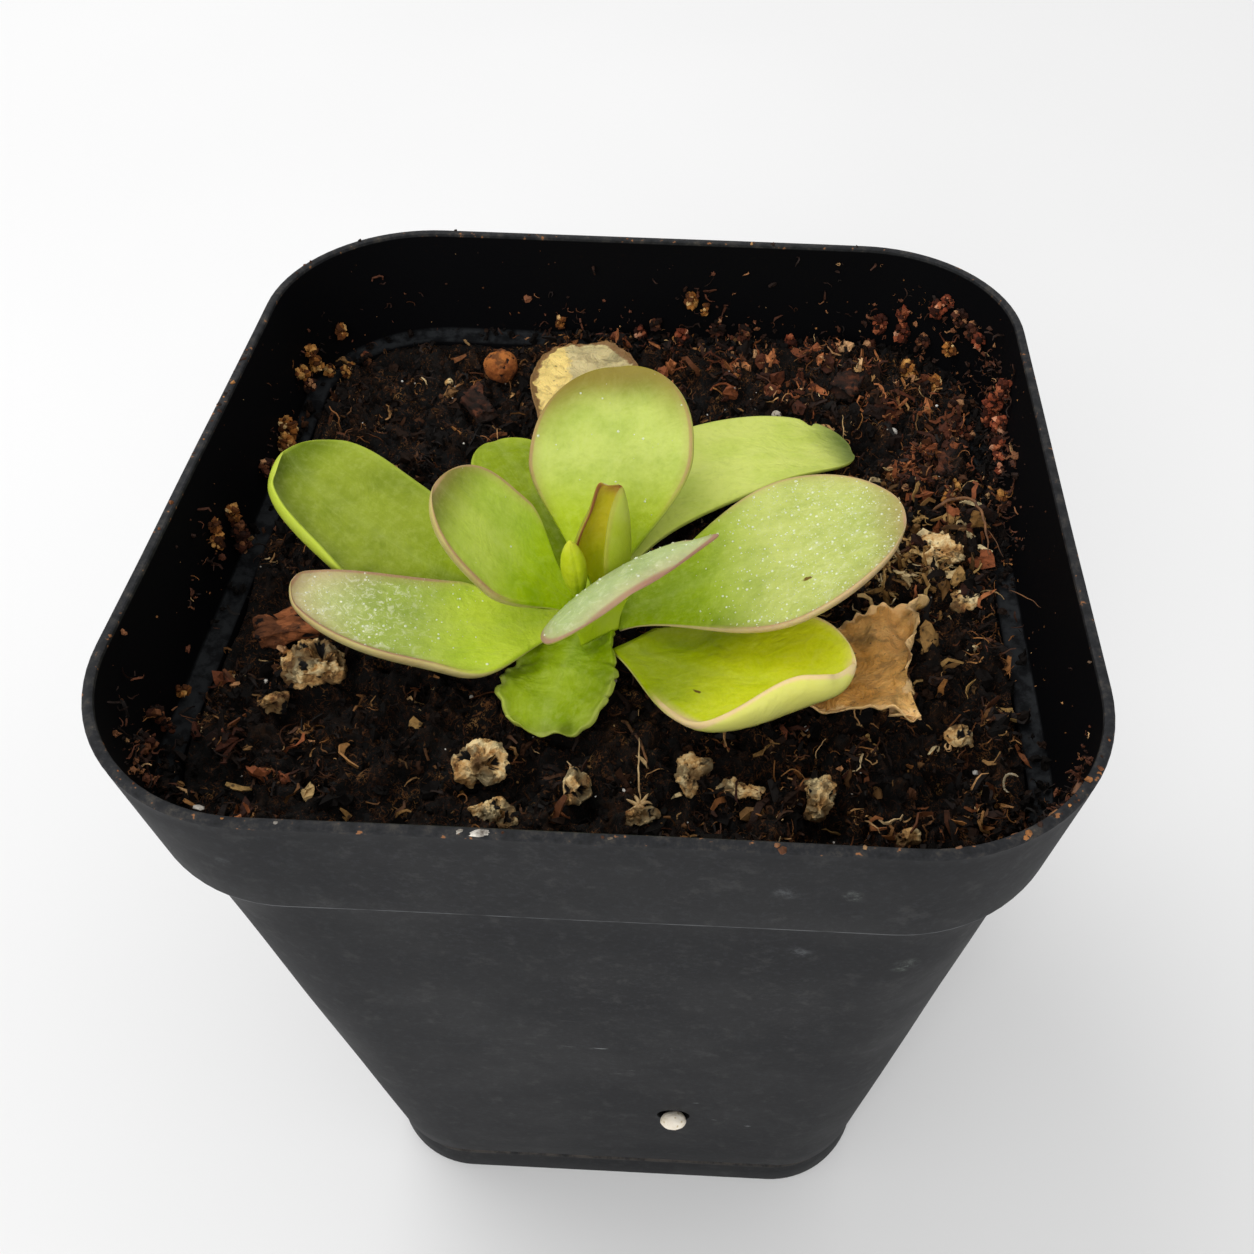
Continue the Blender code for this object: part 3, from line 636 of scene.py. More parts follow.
def lumpShape(name, seed, rough, stretch=(1, 1, 1), ball=False):
    # a small uneven lump from a divided cube or a ball of triangles
    bm = bmesh.new()
    if ball:
        bmesh.ops.create_icosphere(bm, subdivisions=1, radius=1)
    else:
        bmesh.ops.create_cube(bm, size=2)
        bmesh.ops.subdivide_edges(bm, edges=bm.edges, cuts=1, use_grid_fill=True)
    shift = Vector((seed * 3.1, seed * 1.7, seed * 2.3))
    for vert in bm.verts:
        spot = vert.co.normalized()
        push = 1 + rough * noise.noise(spot * 1.3 + shift) + 0.8 * rough * noise.noise(spot * 3.1 + shift)
        vert.co = Vector([spot[i] * push * stretch[i] for i in range(3)])
    return meshFromBm(name, bm)


def stripShape(name, seed, steps, wide, thick, curl, sway, sides=4):
    # a thin curling strip or fibre of length 1 along X
    chance = random.Random(seed)
    path, heading, lift = [Vector((0, 0, 0))], 0, chance.uniform(0.1, 0.6)
    turn, bow = chance.uniform(-sway, sway), chance.choice((-1, -0.6, 0.3)) * chance.uniform(0.3, 1) * curl
    for _ in range(steps):
        heading += turn / steps + chance.uniform(-sway, sway) * 0.6 / steps ** 0.5
        lift += bow / steps + chance.uniform(-curl, curl) * 0.45 / steps ** 0.5
        path.append(path[-1] + Vector((math.cos(heading) * math.cos(lift), math.sin(heading) * math.cos(lift),
                                       math.sin(lift))) / steps)
    middle = sum(path, Vector()) / len(path)
    rings = []
    twist = chance.uniform(-0.8, 0.8)
    for i, spot in enumerate(path):
        along = (path[min(i + 1, steps)] - path[max(i - 1, 0)]).normalized()
        side = Matrix.Rotation(twist * i / steps, 3, along) @ along.cross(Vector((0, 0, 1))).normalized()
        up = side.cross(along)
        share = min(max(i / steps, 0.06), 0.94)
        size = (0.25 + 0.75 * math.sin(math.pi * share) ** 0.6) * chance.uniform(0.8, 1.15)
        angles = [2 * math.pi * (k + 0.5) / sides for k in range(sides)]
        rings.append([spot - middle + side * math.cos(a) * wide * size + up * math.sin(a) * thick * size
                      for a in angles])
    return turnOutwards(meshFromRings(name, np.array(rings)), 60)


# how many there are of each, the first seed and the shape: roughness and stretch of a lump, or steps, width,
# thickness, curl, sway and sides of a strip
shapeValues = {
    "lump": (lumpShape, 9, 0, 1.15, (1, 0.8, 0.6)), "grain": (lumpShape, 5, 80, 0.6, (1, 0.85, 0.8), True),
    "flake": (stripShape, 10, 20, 4, 0.13, 0.035, 3.0, 2.2),
    "fibre": (stripShape, 10, 50, 7, 0.024, 0.022, 2.0, 3.4, 3),
    "curl": (stripShape, 14, 140, 5, 0.085, 0.035, 4.6, 4.4, 3)}
shapes = {kind + "s": makeCollection(kind + "s", [make(f"{kind}{i}", seed + i, *values)
                                                  for i in range(count)])
          for kind, (make, count, seed, *values) in shapeValues.items()}


def makeScatterTree():
    # small shapes thrown over a host, thicker where its weight is high
    tree, given = startTree(
        "scatterBits", density=("Float", 1.0), seed=("Int", 0), smallest=("Float", 1.0),
        largest=("Float", 2.0),
        bias=("Float", 3.0), lift=("Float", 0.0), tilt=("Float", 0.5), weight=("String", "weight"),
        shapes=("Collection", None), material=("Material", None))
    spots = addNode(tree, "GeometryNodeDistributePointsOnFaces", {
        "Mesh": given["Geometry"], "Density": times(readNumbers(tree, given["weight"]), given["density"]),
        "Seed": given["seed"]}, distribute_method="RANDOM").outputs
    raised = movePoints(spots["Points"], vectorCalc("SCALE", spots["Normal"], scale=given["lift"]))

    def chance(low, high, offset, kind="FLOAT"):
        node = addNode(tree, "FunctionNodeRandomValue", data_type=kind)
        sides = {s.name: s for s in node.inputs if s.enabled or s.name == "Seed"}
        feed(sides["Min"], low)
        feed(sides["Max"], high)
        feed(sides["Seed"], plus(given["seed"], float(offset)))
        return [s for s in node.outputs if s.enabled][0]

    lean = given["tilt"]
    angles = combine(tree, X=times(chance(-1.0, 1.0, 11), lean), Y=times(chance(-1.0, 1.0, 12), lean),
                     Z=chance(-math.pi, math.pi, 13))
    turned = addNode(tree, "FunctionNodeRotateRotation", {
        "Rotation": spots["Rotation"],
        "Rotate By": addNode(tree, "FunctionNodeEulerToRotation", {"Euler": angles}).outputs[0]},
        rotation_space="LOCAL").outputs[0]
    size = calc("POWER", chance(0.0, 1.0, 14), given["bias"])
    size = times(spread(size, 0.0, 1.0, given["smallest"], given["largest"], smooth=False), mm)
    pieces = addNode(tree, "GeometryNodeCollectionInfo", {
        "Collection": given["shapes"], "Separate Children": True, "Reset Children": True}).outputs[0]
    placed = addNode(tree, "GeometryNodeInstanceOnPoints", {
        "Points": raised, "Instance": pieces, "Pick Instance": True,
        "Instance Index": chance(0, 20, 15, "INT"), "Rotation": turned, "Scale": size}).outputs[0]
    tinted = keepNumbers(placed, "tint", chance(0.0, 1.0, 16), "INSTANCE")
    realized = addNode(tree, "GeometryNodeRealizeInstances", {"Geometry": tinted}).outputs[0]
    painted = addNode(tree, "GeometryNodeSetMaterial", {
        "Geometry": realized, "Material": given["material"]}).outputs[0]
    addNode(tree, "NodeGroupOutput", {"Geometry": painted})
    return tree


scatterTree = makeScatterTree()
fullTilt = 3.1


def scatter(host, slot, name, material, kind, density, seed, smallest, largest, bias, lift, tilt, weight):
    # the lift above the host is in millimetres
    mesh = runTree(scatterTree, host, name, shapes=shapes[kind], material=material, density=density,
                   seed=seed, smallest=smallest, largest=largest, bias=bias, lift=lift * mm, tilt=tilt,
                   weight=weight)
    mesh.polygons.foreach_set("material_index", np.zeros(len(mesh.polygons), np.int32))
    print(name, sum(len(face.vertices) - 2 for face in mesh.polygons))
    return addPiece(name, mesh, material, slot)


def scatterBits(host, rows):
    for name, (look, *values) in rows.items():
        scatter(host, "growing_mix", name, bitLooks[look], *values)


def makeBitMaterial(name, stops, roughness=0.85, gloss=0.3, pits=0.0):
    # colour picked by each bit's own tint
    material, shader, where = startMaterial(name)
    speckle = noiseAt(where, 1400, 4, 0.7)
    colour = paint(rampTones(readAttribute(where, "tint"), stops),
                   (spread(speckle, 0.42, 0.7, 0.0, 0.55), "120c08"))
    if pits:
        colour = paint(colour, (times(spread(cellsAt(where, 1100), 0.28, 0.12), pits), "1a110a"))
    dress(shader, colour=colour, rough=roughness, gloss=gloss, bump=bumpFrom(speckle, 0.25, 0.7))
    return material


# tones from the commonest bits to the rarest, then roughness, gloss and pits
bitTones = {
    "peatCrumbs": ([(0, "060403"), (0.6, "0c0705"), (0.82, "170e09"), (0.93, "2c1b10"), (0.98, "543420"),
                    (1, "a07848")], 0.8, 0.16),
    "peatFlakes": ([(0, "0b0704"), (0.5, "1c0f08"), (0.72, "3e2111"), (0.87, "7a4624"), (0.95, "b57a40"),
                    (1, "dcb77e")], 0.65, 0.25),
    "peatFibres": ([(0, "1a0f08"), (0.45, "3e2211"), (0.75, "7c4a26"), (0.92, "b67c44"), (1, "d8b27c")],
                   0.65, 0.25),
    "peatCurls": ([(0, "0e0805"), (0.35, "26160c"), (0.67, "52331c"), (0.86, "8c5f33"), (0.95, "c4955d"),
                   (1, "e6ca98")], 0.65, 0.25),
    "paleSpecks": ([(0, "a89c8c"), (0.5, "d9d2c6"), (1, "f4f1ea")], 0.6, 0.5),
    "barkCrumbs": ([(0, "0d0704"), (0.3, "28140b"), (0.6, "5c2e1a"), (0.82, "9a5630"), (0.93, "c07a48"),
                    (1, "dcae7c")], 0.85, 0.3, 0.6),
    "tanBits": ([(0, "4a3219"), (0.3, "86602f"), (0.65, "c09a5c"), (1, "ecd5a2")], 0.8, 0.3, 0.8),
    "wallFlakes": ([(0, "140b06"), (0.5, "3e2112"), (0.8, "74422a"), (0.95, "a87248"), (1, "dcb07a")],
                   0.75, 0.3),
}
bitLooks = {name: makeBitMaterial(name, *values) for name, values in bitTones.items()}

# material, shape, density, seed, smallest, largest, share of small ones, height above the mix, tilt, where
mixBits = {
    "crumbs": ("peatCrumbs", "lumps", 2.3e5, 3, 0.4, 1.25, 2.4, 0.05, fullTilt, "crumbly"),
    "grit": ("peatCrumbs", "grains", 4.5e5, 4, 0.14, 0.5, 2.0, 0.1, fullTilt, "crumbly"),
    "curledFlakes": ("peatFlakes", "flakes", 4.0e5, 8, 0.6, 4.6, 2.6, 0.25, 1.5, "stringy"),
    "shreds": ("peatCrumbs", "flakes", 3.8e5, 9, 0.6, 2.8, 2.0, 0.3, 1.5, "crumbly"),
    "fibres": ("peatFibres", "fibres", 3.6e5, 12, 0.8, 4.5, 2.2, 0.35, 0.6, "stringy"),
    "curls": ("peatCurls", "curls", 1.15e6, 14, 0.5, 3.2, 1.9, 0.3, 1.3, "matted"),
    "barkCrumbs": ("barkCrumbs", "lumps", 2.2e5, 21, 0.3, 1.35, 2.0, 0.4, fullTilt, "reddish"),
    "barkFlakes": ("barkCrumbs", "curls", 5.5e5, 22, 0.8, 4.4, 1.8, 0.8, 1.6, "reddish"),
    "tanBits": ("tanBits", "flakes", 1.9e6, 31, 0.7, 3.4, 1.4, 0.9, 1.5, "tanPatch"),
    "tanCrumbs": ("tanBits", "lumps", 5e5, 32, 0.25, 1.2, 1.6, 0.6, fullTilt, "tanPatch"),
    "paleSpecks": ("paleSpecks", "grains", 2.2e4, 41, 0.1, 0.4, 3.0, 0.7, fullTilt, "crumbly"),
}


def mixWeights():
    # how thickly each kind of bit lies over the top of the mix
    mesh = mixBody.data
    x, y, z = readPoints(mesh).T
    patch = np.clip(0.5 + 0.9 * noiseOver(x * 0.09, y * 0.09, 0.3), 0, 1)
    clot = noiseOver(x * 0.33, y * 0.33, 4.3) + 0.5 * noiseOver(x * 0.8, y * 0.8, 7.1)
    clot = np.clip(0.42 + 2.6 * clot, 0.02, 2.0)
    heap = np.empty(len(x))
    mesh.attributes["relief"].data.foreach_get("value", heap)
    heap = np.clip(0.5 + 0.75 * (heap - np.median(heap)), 0.02, 1.5)
    # few lie under the middle of the rosette
    covered = np.exp(-(((x + 2.8) / 11) ** 2 + ((y + 6) / 9) ** 2) ** 2)
    base = (z > mix["wallTop"] + 0.3).astype(float) * (1 - 0.75 * covered) * heap
    rightWall = hill(x, y, 37, 16, 7, 14)
    backWall = np.exp(-((y - 37) / 6) ** 2) * easeStep((x + 12) / 10)
    leftFront = hill(x, y, -35, -30, 6, 9)
    rightSide = easeStep((x - 16) / 12)
    nearEdge = easeStep((outlineReach(x, y) - 34) / 5)
    leftSide = easeStep((-x - 14) / 12)
    tan = hill(x, y, 31, 3, 5, 5)
    tan += 0.05 * hill(x, y, 30, -12, 8, 12) + 0.008 * np.exp(-((y + 30) / 6) ** 2)
    weights = {
        "crumbly": (0.45 + 0.7 * patch) * (0.5 + 0.5 * clot),
        "stringy": (0.35 + 0.8 * patch ** 2 + 1.6 * rightWall + 1.5 * backWall + 0.9 * rightSide
                    + 1.3 * leftFront + 0.5 * nearEdge) * clot,
        "matted": (0.25 + 0.9 * patch) * clot * (0.75 + 0.6 * rightWall + 0.7 * rightSide + 0.9 * leftFront
                                                 + 0.5 * leftSide),
        "reddish": (2.4 * rightWall + 2.6 * backWall + 0.9 * leftFront
                    + 0.4 * hill(x, y, 14, -22, 8, 6)) * clot ** 1.5,
        "tanPatch": tan,
    }
    for name, weight in weights.items():
        storeNumbers(mesh, name, base * weight)


mixWeights()
scatterBits(mixBody, mixBits)
print("loose bits")


# leaves

crown = (-2.8, -10.4)
leafShape = {"stations": 84, "around": 56, "thick": 1.25, "rollSteps": 60, "pathSteps": 400, "last": 0.9985}

# start: distance from the crown and height; heading, rise and tilt: first angle and how it changes;
# form: width at the base, where it's widest, fullness of the tip; roll and zone: for each margin
leaves = {
    "leaf_upper_left": dict(
        start=(4.1, 87.2), heading=(171, -28), rise=(9, 17), size=(34.6, 15.2), tilt=(13, 1),
        form=(0.24, 0.6, 3.6), roll=(125, 15), zone=(0.8, 0.78), rollFrom=(0.3, 0.7),
        fold=(-1, 0.3, 0.5, 0.4), tipCurl=(0.9, 45),
        tones=("829a0a", "86982c", "5e7414"), rimTone="b4c84a", under="b9cc44", pink=(0.6, 0.3)),
    "leaf_lower_left": dict(
        start=(2.9, 89.0), heading=(207, -46), rise=(5, 15), size=(28.3, 12.8), tilt=(1, -8),
        form=(0.24, 0.4, 2.2), roll=(100, 25), zone=(0.74, 0.78), rollFrom=(0.1, 0.5), tipCurl=(0.92, 40),
        tones=("bcd638", "98ae4c", "ccd098"), tipFrom=0.62, rimTone="a9826a", under="b8b070", pink=(1.0, 0.9),
        pinkWide=1.2, blush=0.3, frost=1.0, dew=1.0, ear=(0.32, 0.12, 0.22, 0)),
    "leaf_mid_left": dict(
        start=(2.1, 90.2), heading=(179, -20), rise=(41, 10), size=(19, 14.3), tilt=(8, -13),
        form=(0.22, 0.5, 3.6), cup=14, roll=(66, 20), zone=(0.76, 0.8),
        tones=("a2c206", "b4cc4c", "6a701c"), tipFrom=0.72, rimTone="b0906a", under="b9b66a", pink=(1.0, 0.9),
        dew=0.15),
    "leaf_behind_left": dict(
        start=(3.0, 87.5), heading=(114, 13), rise=(15, -13), size=(25, 11.7), tilt=(-3, -7),
        form=(0.24, 0.63, 2.2), roll=(45, 25), zone=(0.75, 0.75),
        tones=("769006", "839a02", "90a61c"), rimTone="a9b840", under="93a535", pink=(0.3, 0.3)),
    "leaf_back": dict(
        start=(1.9, 89.4), heading=(83, 11), rise=(37, -14), size=(26, 18.2), tilt=(10, 10),
        form=(0.2, 0.57, 2.3), roll=(30, 30), zone=(0.85, 0.85),
        tones=("a0b81a", "b4c662", "706a20"), tipFrom=0.74, rimTone="a98a62", under="a9b84e",
        pink=(0.9, 0.85), blush=0.75, blushTone="84762e", dew=0.25),
    "leaf_back_right": dict(
        start=(4.1, 89.1), heading=(78, -75), rise=(10, -21), size=(38.9, 16), tilt=(-4, 18),
        form=(0.26, 0.6, 4.5), roll=(10, 15), zone=(0.75, 0.75), notch=(0.9, -1, 0.2),
        tones=("cadc62", "cede6e", "64783c"), rimTone="b4bd62", under="9dac48", pink=(0.2, 0.2)),
    "leaf_right": dict(
        start=(2.7, 88.3), heading=(6, 1), rise=(25, -3), size=(31.4, 23.4), tilt=(-12, 18),
        form=(0.17, 0.66, 2.2), cup=8, roll=(22, 60), zone=(0.86, 0.84), tipCurl=(0.93, 8),
        tones=("84a000", "b6c468", "929c46"), rimTone="bb9774", under="c6b487", pink=(0.7, 1.0), blush=0.2,
        dew=1.0, frost=0.35, spot=(0.66, 0.45)),
    "leaf_front_right": dict(
        start=(5.2, 87.9), heading=(-43, 50), rise=(8, 18), size=(25.9, 18.2), tilt=(13, 4),
        form=(0.22, 0.58, 2.2), cup=12, roll=(20, 150), zone=(0.7, 0.88), rollFrom=(0.3, 0.6),
        fold=(1, 0.45, 0.2, 0.3), tipCurl=(0.9, 30), ear=(0.14, 0.18, 2.0, 0),
        tones=("a6ba00", "d8e41c", "d8e430"), rimTone="e6cc98", under="dadc72", pink=(0.8, 4.2),
        spot=(0.42, 0.4)),
    "leaf_front": dict(
        start=(2.2, 87.6), heading=(-107, 12), rise=(7, -11), size=(13.6, 11.8), tilt=(-12, -4),
        form=(0.62, 0.5, 2.8), cup=6, roll=(35, 60), zone=(0.72, 0.72), wave=0.75, ragged=0.09, crinkle=0.45,
        tones=("86a206", "8ca610", "809810"), rimTone="bcc76c", under="a5b83c", pink=(0.5, 0.5)),
    "leaf_raised_front": dict(
        start=(3.5, 89.2), heading=(-73, 18), rise=(92, -84), bend=1.5, size=(17.6, 17.3), tilt=(-19, -12),
        form=(0.26, 0.82, 2.6), cup=-14, roll=(0, 0), zone=(0.8, 0.8), ear=(0.89, 0.05, 0.3, 0), thick=0.95,
        tones=("98ae2a", "a9bc80", "aebb88"), rimTone="a27c6a", under="b0c820", pink=(1.0, 0.9), pinkWide=1.5,
        dew=0.3, frost=0.35),
    "leaf_young_folded": dict(
        start=(1.8, 90.7), heading=(40, 0), rise=(70, 20), size=(13.8, 12.2), tilt=(-28, -2),
        form=(0.38, 0.5, 1.25), cup=136, roll=(0, 0), zone=(0.8, 0.8), ear=(0.9, 0.07, 0, 2.2), thick=0.8,
        glow=0.5, tones=("c8d022", "ccc42e", "b88e4c"), rimTone="8f5a40", under="9cac2a", pink=(1.0, 0.8)),
}
deadLeaves = {
    "dead_leaf_back": dict(
        start=(8.0, 86.9), heading=(94, 9), rise=(5, -2), size=(39, 14.2), tilt=(-2, 0),
        form=(0.2, 0.77, 2.2), cup=6, roll=(55, 75), zone=(0.78, 0.78), thick=0.45, wave=0.5, ragged=0.05,
        tones=("a89c64", "c8b67e", "d6c48c"), rimTone="866034", stain="989064", veins=0.0, lit="fbdc82"),
    "dead_leaf_right": dict(
        start=(8.2, 86.4), heading=(-18, 24), rise=(0, 18), size=(26.2, 17), tilt=(-7, 15),
        form=(0.04, 0.95, 4.5), cup=4, roll=(60, 85), zone=(0.82, 0.86), thick=0.4, wave=1.1, ragged=0.07,
        ear=(0.92, 0.12, 0.1, 0.8), earHand=1, tipCurl=(0.93, 105),
        # the first tone, dark at the base, is painted shade where this leaf runs under the one beside it
        tones=("3a2812", "dc9838", "f6c070"), rimTone="ffd08c", stain="80601e", veins=0.1),
}


def leafFrame(leaf, share):
    # place, side and up directions along the midrib
    steps = leafShape["pathSteps"]
    t = np.arange(steps) / steps
    heading = np.radians(leaf["heading"][0] + leaf["heading"][1] * t)
    slope = np.radians(leaf["rise"][0] + leaf["rise"][1] * t ** leaf.get("bend", 1))
    curlFrom, curlBy = leaf.get("tipCurl", (0.9, 0))
    slope = slope + np.radians(curlBy) * easeStep((t - curlFrom) / (1 - curlFrom))
    along = np.column_stack([np.cos(heading) * np.cos(slope), np.sin(heading) * np.cos(slope), np.sin(slope)])
    out, height = leaf["start"]
    first = math.radians(leaf["heading"][0])
    base = np.array([crown[0] + out * math.cos(first), crown[1] + out * math.sin(first), height])
    path = base + np.concatenate([[[0, 0, 0]], np.cumsum(along * leaf["size"][0] / steps, 0)[:-1]])
    level = np.column_stack([np.sin(heading), -np.cos(heading), np.zeros(steps)])
    normal = np.cross(level, along)
    tilt = np.radians(leaf["tilt"][0] + (leaf["tilt"][1] - leaf["tilt"][0]) * t)[:, None]
    side = level * np.cos(tilt) + normal * np.sin(tilt)
    up = normal * np.cos(tilt) - level * np.sin(tilt)
    return [np.column_stack([np.interp(share, t, part[:, i]) for i in range(3)]) for part in (path, side, up)]


def leafWidth(leaf, t):
    base, widest, fullness = leaf["form"]
    rising = base + (1 - base) * easeStep(t / widest)
    beyond = np.clip((t - widest) / (1 - widest), 0, 1)
    return leaf["size"][1] / 2 * np.where(t <= widest, rising, np.sqrt(np.maximum(1 - beyond ** fullness, 0)))


def curveMargin(leaf, hand, share):
    # how far the blade bends up on one side, summed outwards from the midrib
    stations, steps = len(share), leafShape["rollSteps"]
    middle = (np.arange(steps) + 0.5) / steps
    zone, rollBy = [leaf[key][hand > 0] for key in ("zone", "roll")]
    if "fold" in leaf and leaf["fold"][0] == hand:
        foldFrom, least, last = leaf["fold"][1:]
        zone = (zone + (least - zone) * easeStep((share - foldFrom) / (0.85 - foldFrom))
                + (last - least) * easeStep((share - 0.82) / 0.18))[:, None]
    rollFrom, rollFull = leaf.get("rollFrom", (0, 0.35))
    rolling = easeStep((share - rollFrom) / (rollFull - rollFrom))[:, None]
    rolled = rolling * (np.maximum(middle[None, :] - zone, 0) / (1 - zone)) ** 1.6
    bent = np.radians(leaf.get("cup", 10) * middle[None, :] + rollBy * rolled)
    start = np.zeros((stations, 1))
    return [np.concatenate([start, part], 1)
            for part in (np.cumsum(np.cos(bent), 1) / steps, np.cumsum(np.sin(bent), 1) / steps, bent)]


def shapeBlade(leaf, share, half, v, sides, shift):
    # the blade's middle surface, and how far it leans at each point
    place, sideways, upward = sides
    points = np.zeros((len(share), len(v), 3))
    lean = np.zeros((len(share), len(v)))
    fine = np.linspace(0, 1, leafShape["rollSteps"] + 1)
    forward = np.gradient(place, axis=0)
    forward /= np.maximum(np.linalg.norm(forward, axis=1), 1e-9)[:, None]
    for hand in (-1, 1):
        across, rise, bent = curveMargin(leaf, hand, share)
        mine = np.where((v >= 0) if hand > 0 else (v < 0))[0]
        for i, at in enumerate(share):
            reach = np.abs(v[mine])
            if "ragged" in leaf:
                reach = reach * (1 + leaf["ragged"] * 2 * noise.noise(Vector((at * 14, hand * 3 + shift,
                                                                              0.5))))
            wide, ahead = half[i], np.zeros(len(mine))
            if "notch" in leaf and leaf["notch"][1] == hand:
                wide = wide * (1 - leaf["notch"][2] * math.exp(-((at - leaf["notch"][0]) / 0.012) ** 2))
            if "ear" in leaf and hand == leaf.get("earHand", -1):
                # a drawn-out corner of one margin
                middle, reachAlong, wider, longer = leaf["ear"]
                near = math.exp(-((at - middle) / reachAlong) ** 2)
                wide = wide * (1 + wider * near)
                ahead = longer * near * reach ** 3
            x = hand * np.interp(reach, fine, across[i]) * wide
            z = np.interp(reach, fine, rise[i]) * wide
            lean[i, mine] = np.interp(reach, fine, bent[i]) * hand
            points[i, mine] = (place[i] + np.outer(x, sideways[i]) + np.outer(z, upward[i])
                               + np.outer(ahead, forward[i]))
    return points, lean


def makeLeafMesh(name, leaf):
    share = 1 - (1 - np.linspace(0, 1, leafShape["stations"])) ** 1.7
    share = np.minimum(share, leafShape["last"])
    sides = leafFrame(leaf, share)
    sideways, upward = sides[1][:, None, :], sides[2][:, None, :]
    half = leafWidth(leaf, share)
    angles = np.linspace(0, 2 * np.pi, leafShape["around"], endpoint=False)
    v = np.sign(np.cos(angles)) * np.abs(np.cos(angles)) ** 0.75
    plump = np.sign(np.sin(angles)) * np.abs(np.sin(angles)) ** 0.55
    shift = sum(map(ord, name)) * 0.37
    points, lean = shapeBlade(leaf, share, half, v, sides, shift)
    body = np.minimum(1, 0.35 + half / half.max()) * (1.15 - 0.4 * share)
    body = body * np.sqrt(np.clip(1 - share ** 14, 0.02, 1))
    limit = np.minimum(leaf.get("thick", leafShape["thick"]) * body, half * 0.9)
    if "wave" in leaf:
        x, y = points[:, :, 0].ravel(), points[:, :, 1].ravel()
        wave = noiseOver(x * 0.33, y * 0.33, shift) * 1.5 + noiseOver(x * 0.9, y * 0.9, shift + 5) * 0.7
        most = 0.25 + 0.75 * np.abs(v)[None, :] ** 2 + 0.8 * easeStep((share[:, None] - 0.8) / 0.2)
        points += (wave.reshape(lean.shape) * leaf["wave"] * most)[:, :, None] * upward
    outwards = (-np.sin(lean))[:, :, None] * sideways + np.cos(lean)[:, :, None] * upward
    points += outwards * (plump[None, :] * limit[:, None] / 2)[:, :, None]
    mesh = turnOutwards(meshFromRings(name, points * mm))
    rim = np.minimum((1 - np.abs(v))[None, :] * half[:, None], (1 - share)[:, None] * leaf["size"][0])
    every = np.ones(rim.shape)
    wet = (plump > 0.5)[None, :] * easeStep(rim / 0.8) * easeStep((share[:, None] - 0.25) / 0.3)
    for label, values in {"along": share[:, None] * every, "across": v[None, :] * every,
                          "upper": (plump > 0)[None, :] * every, "rim": rim, "wet": wet}.items():
        storeNumbers(mesh, label, values)
    return mesh


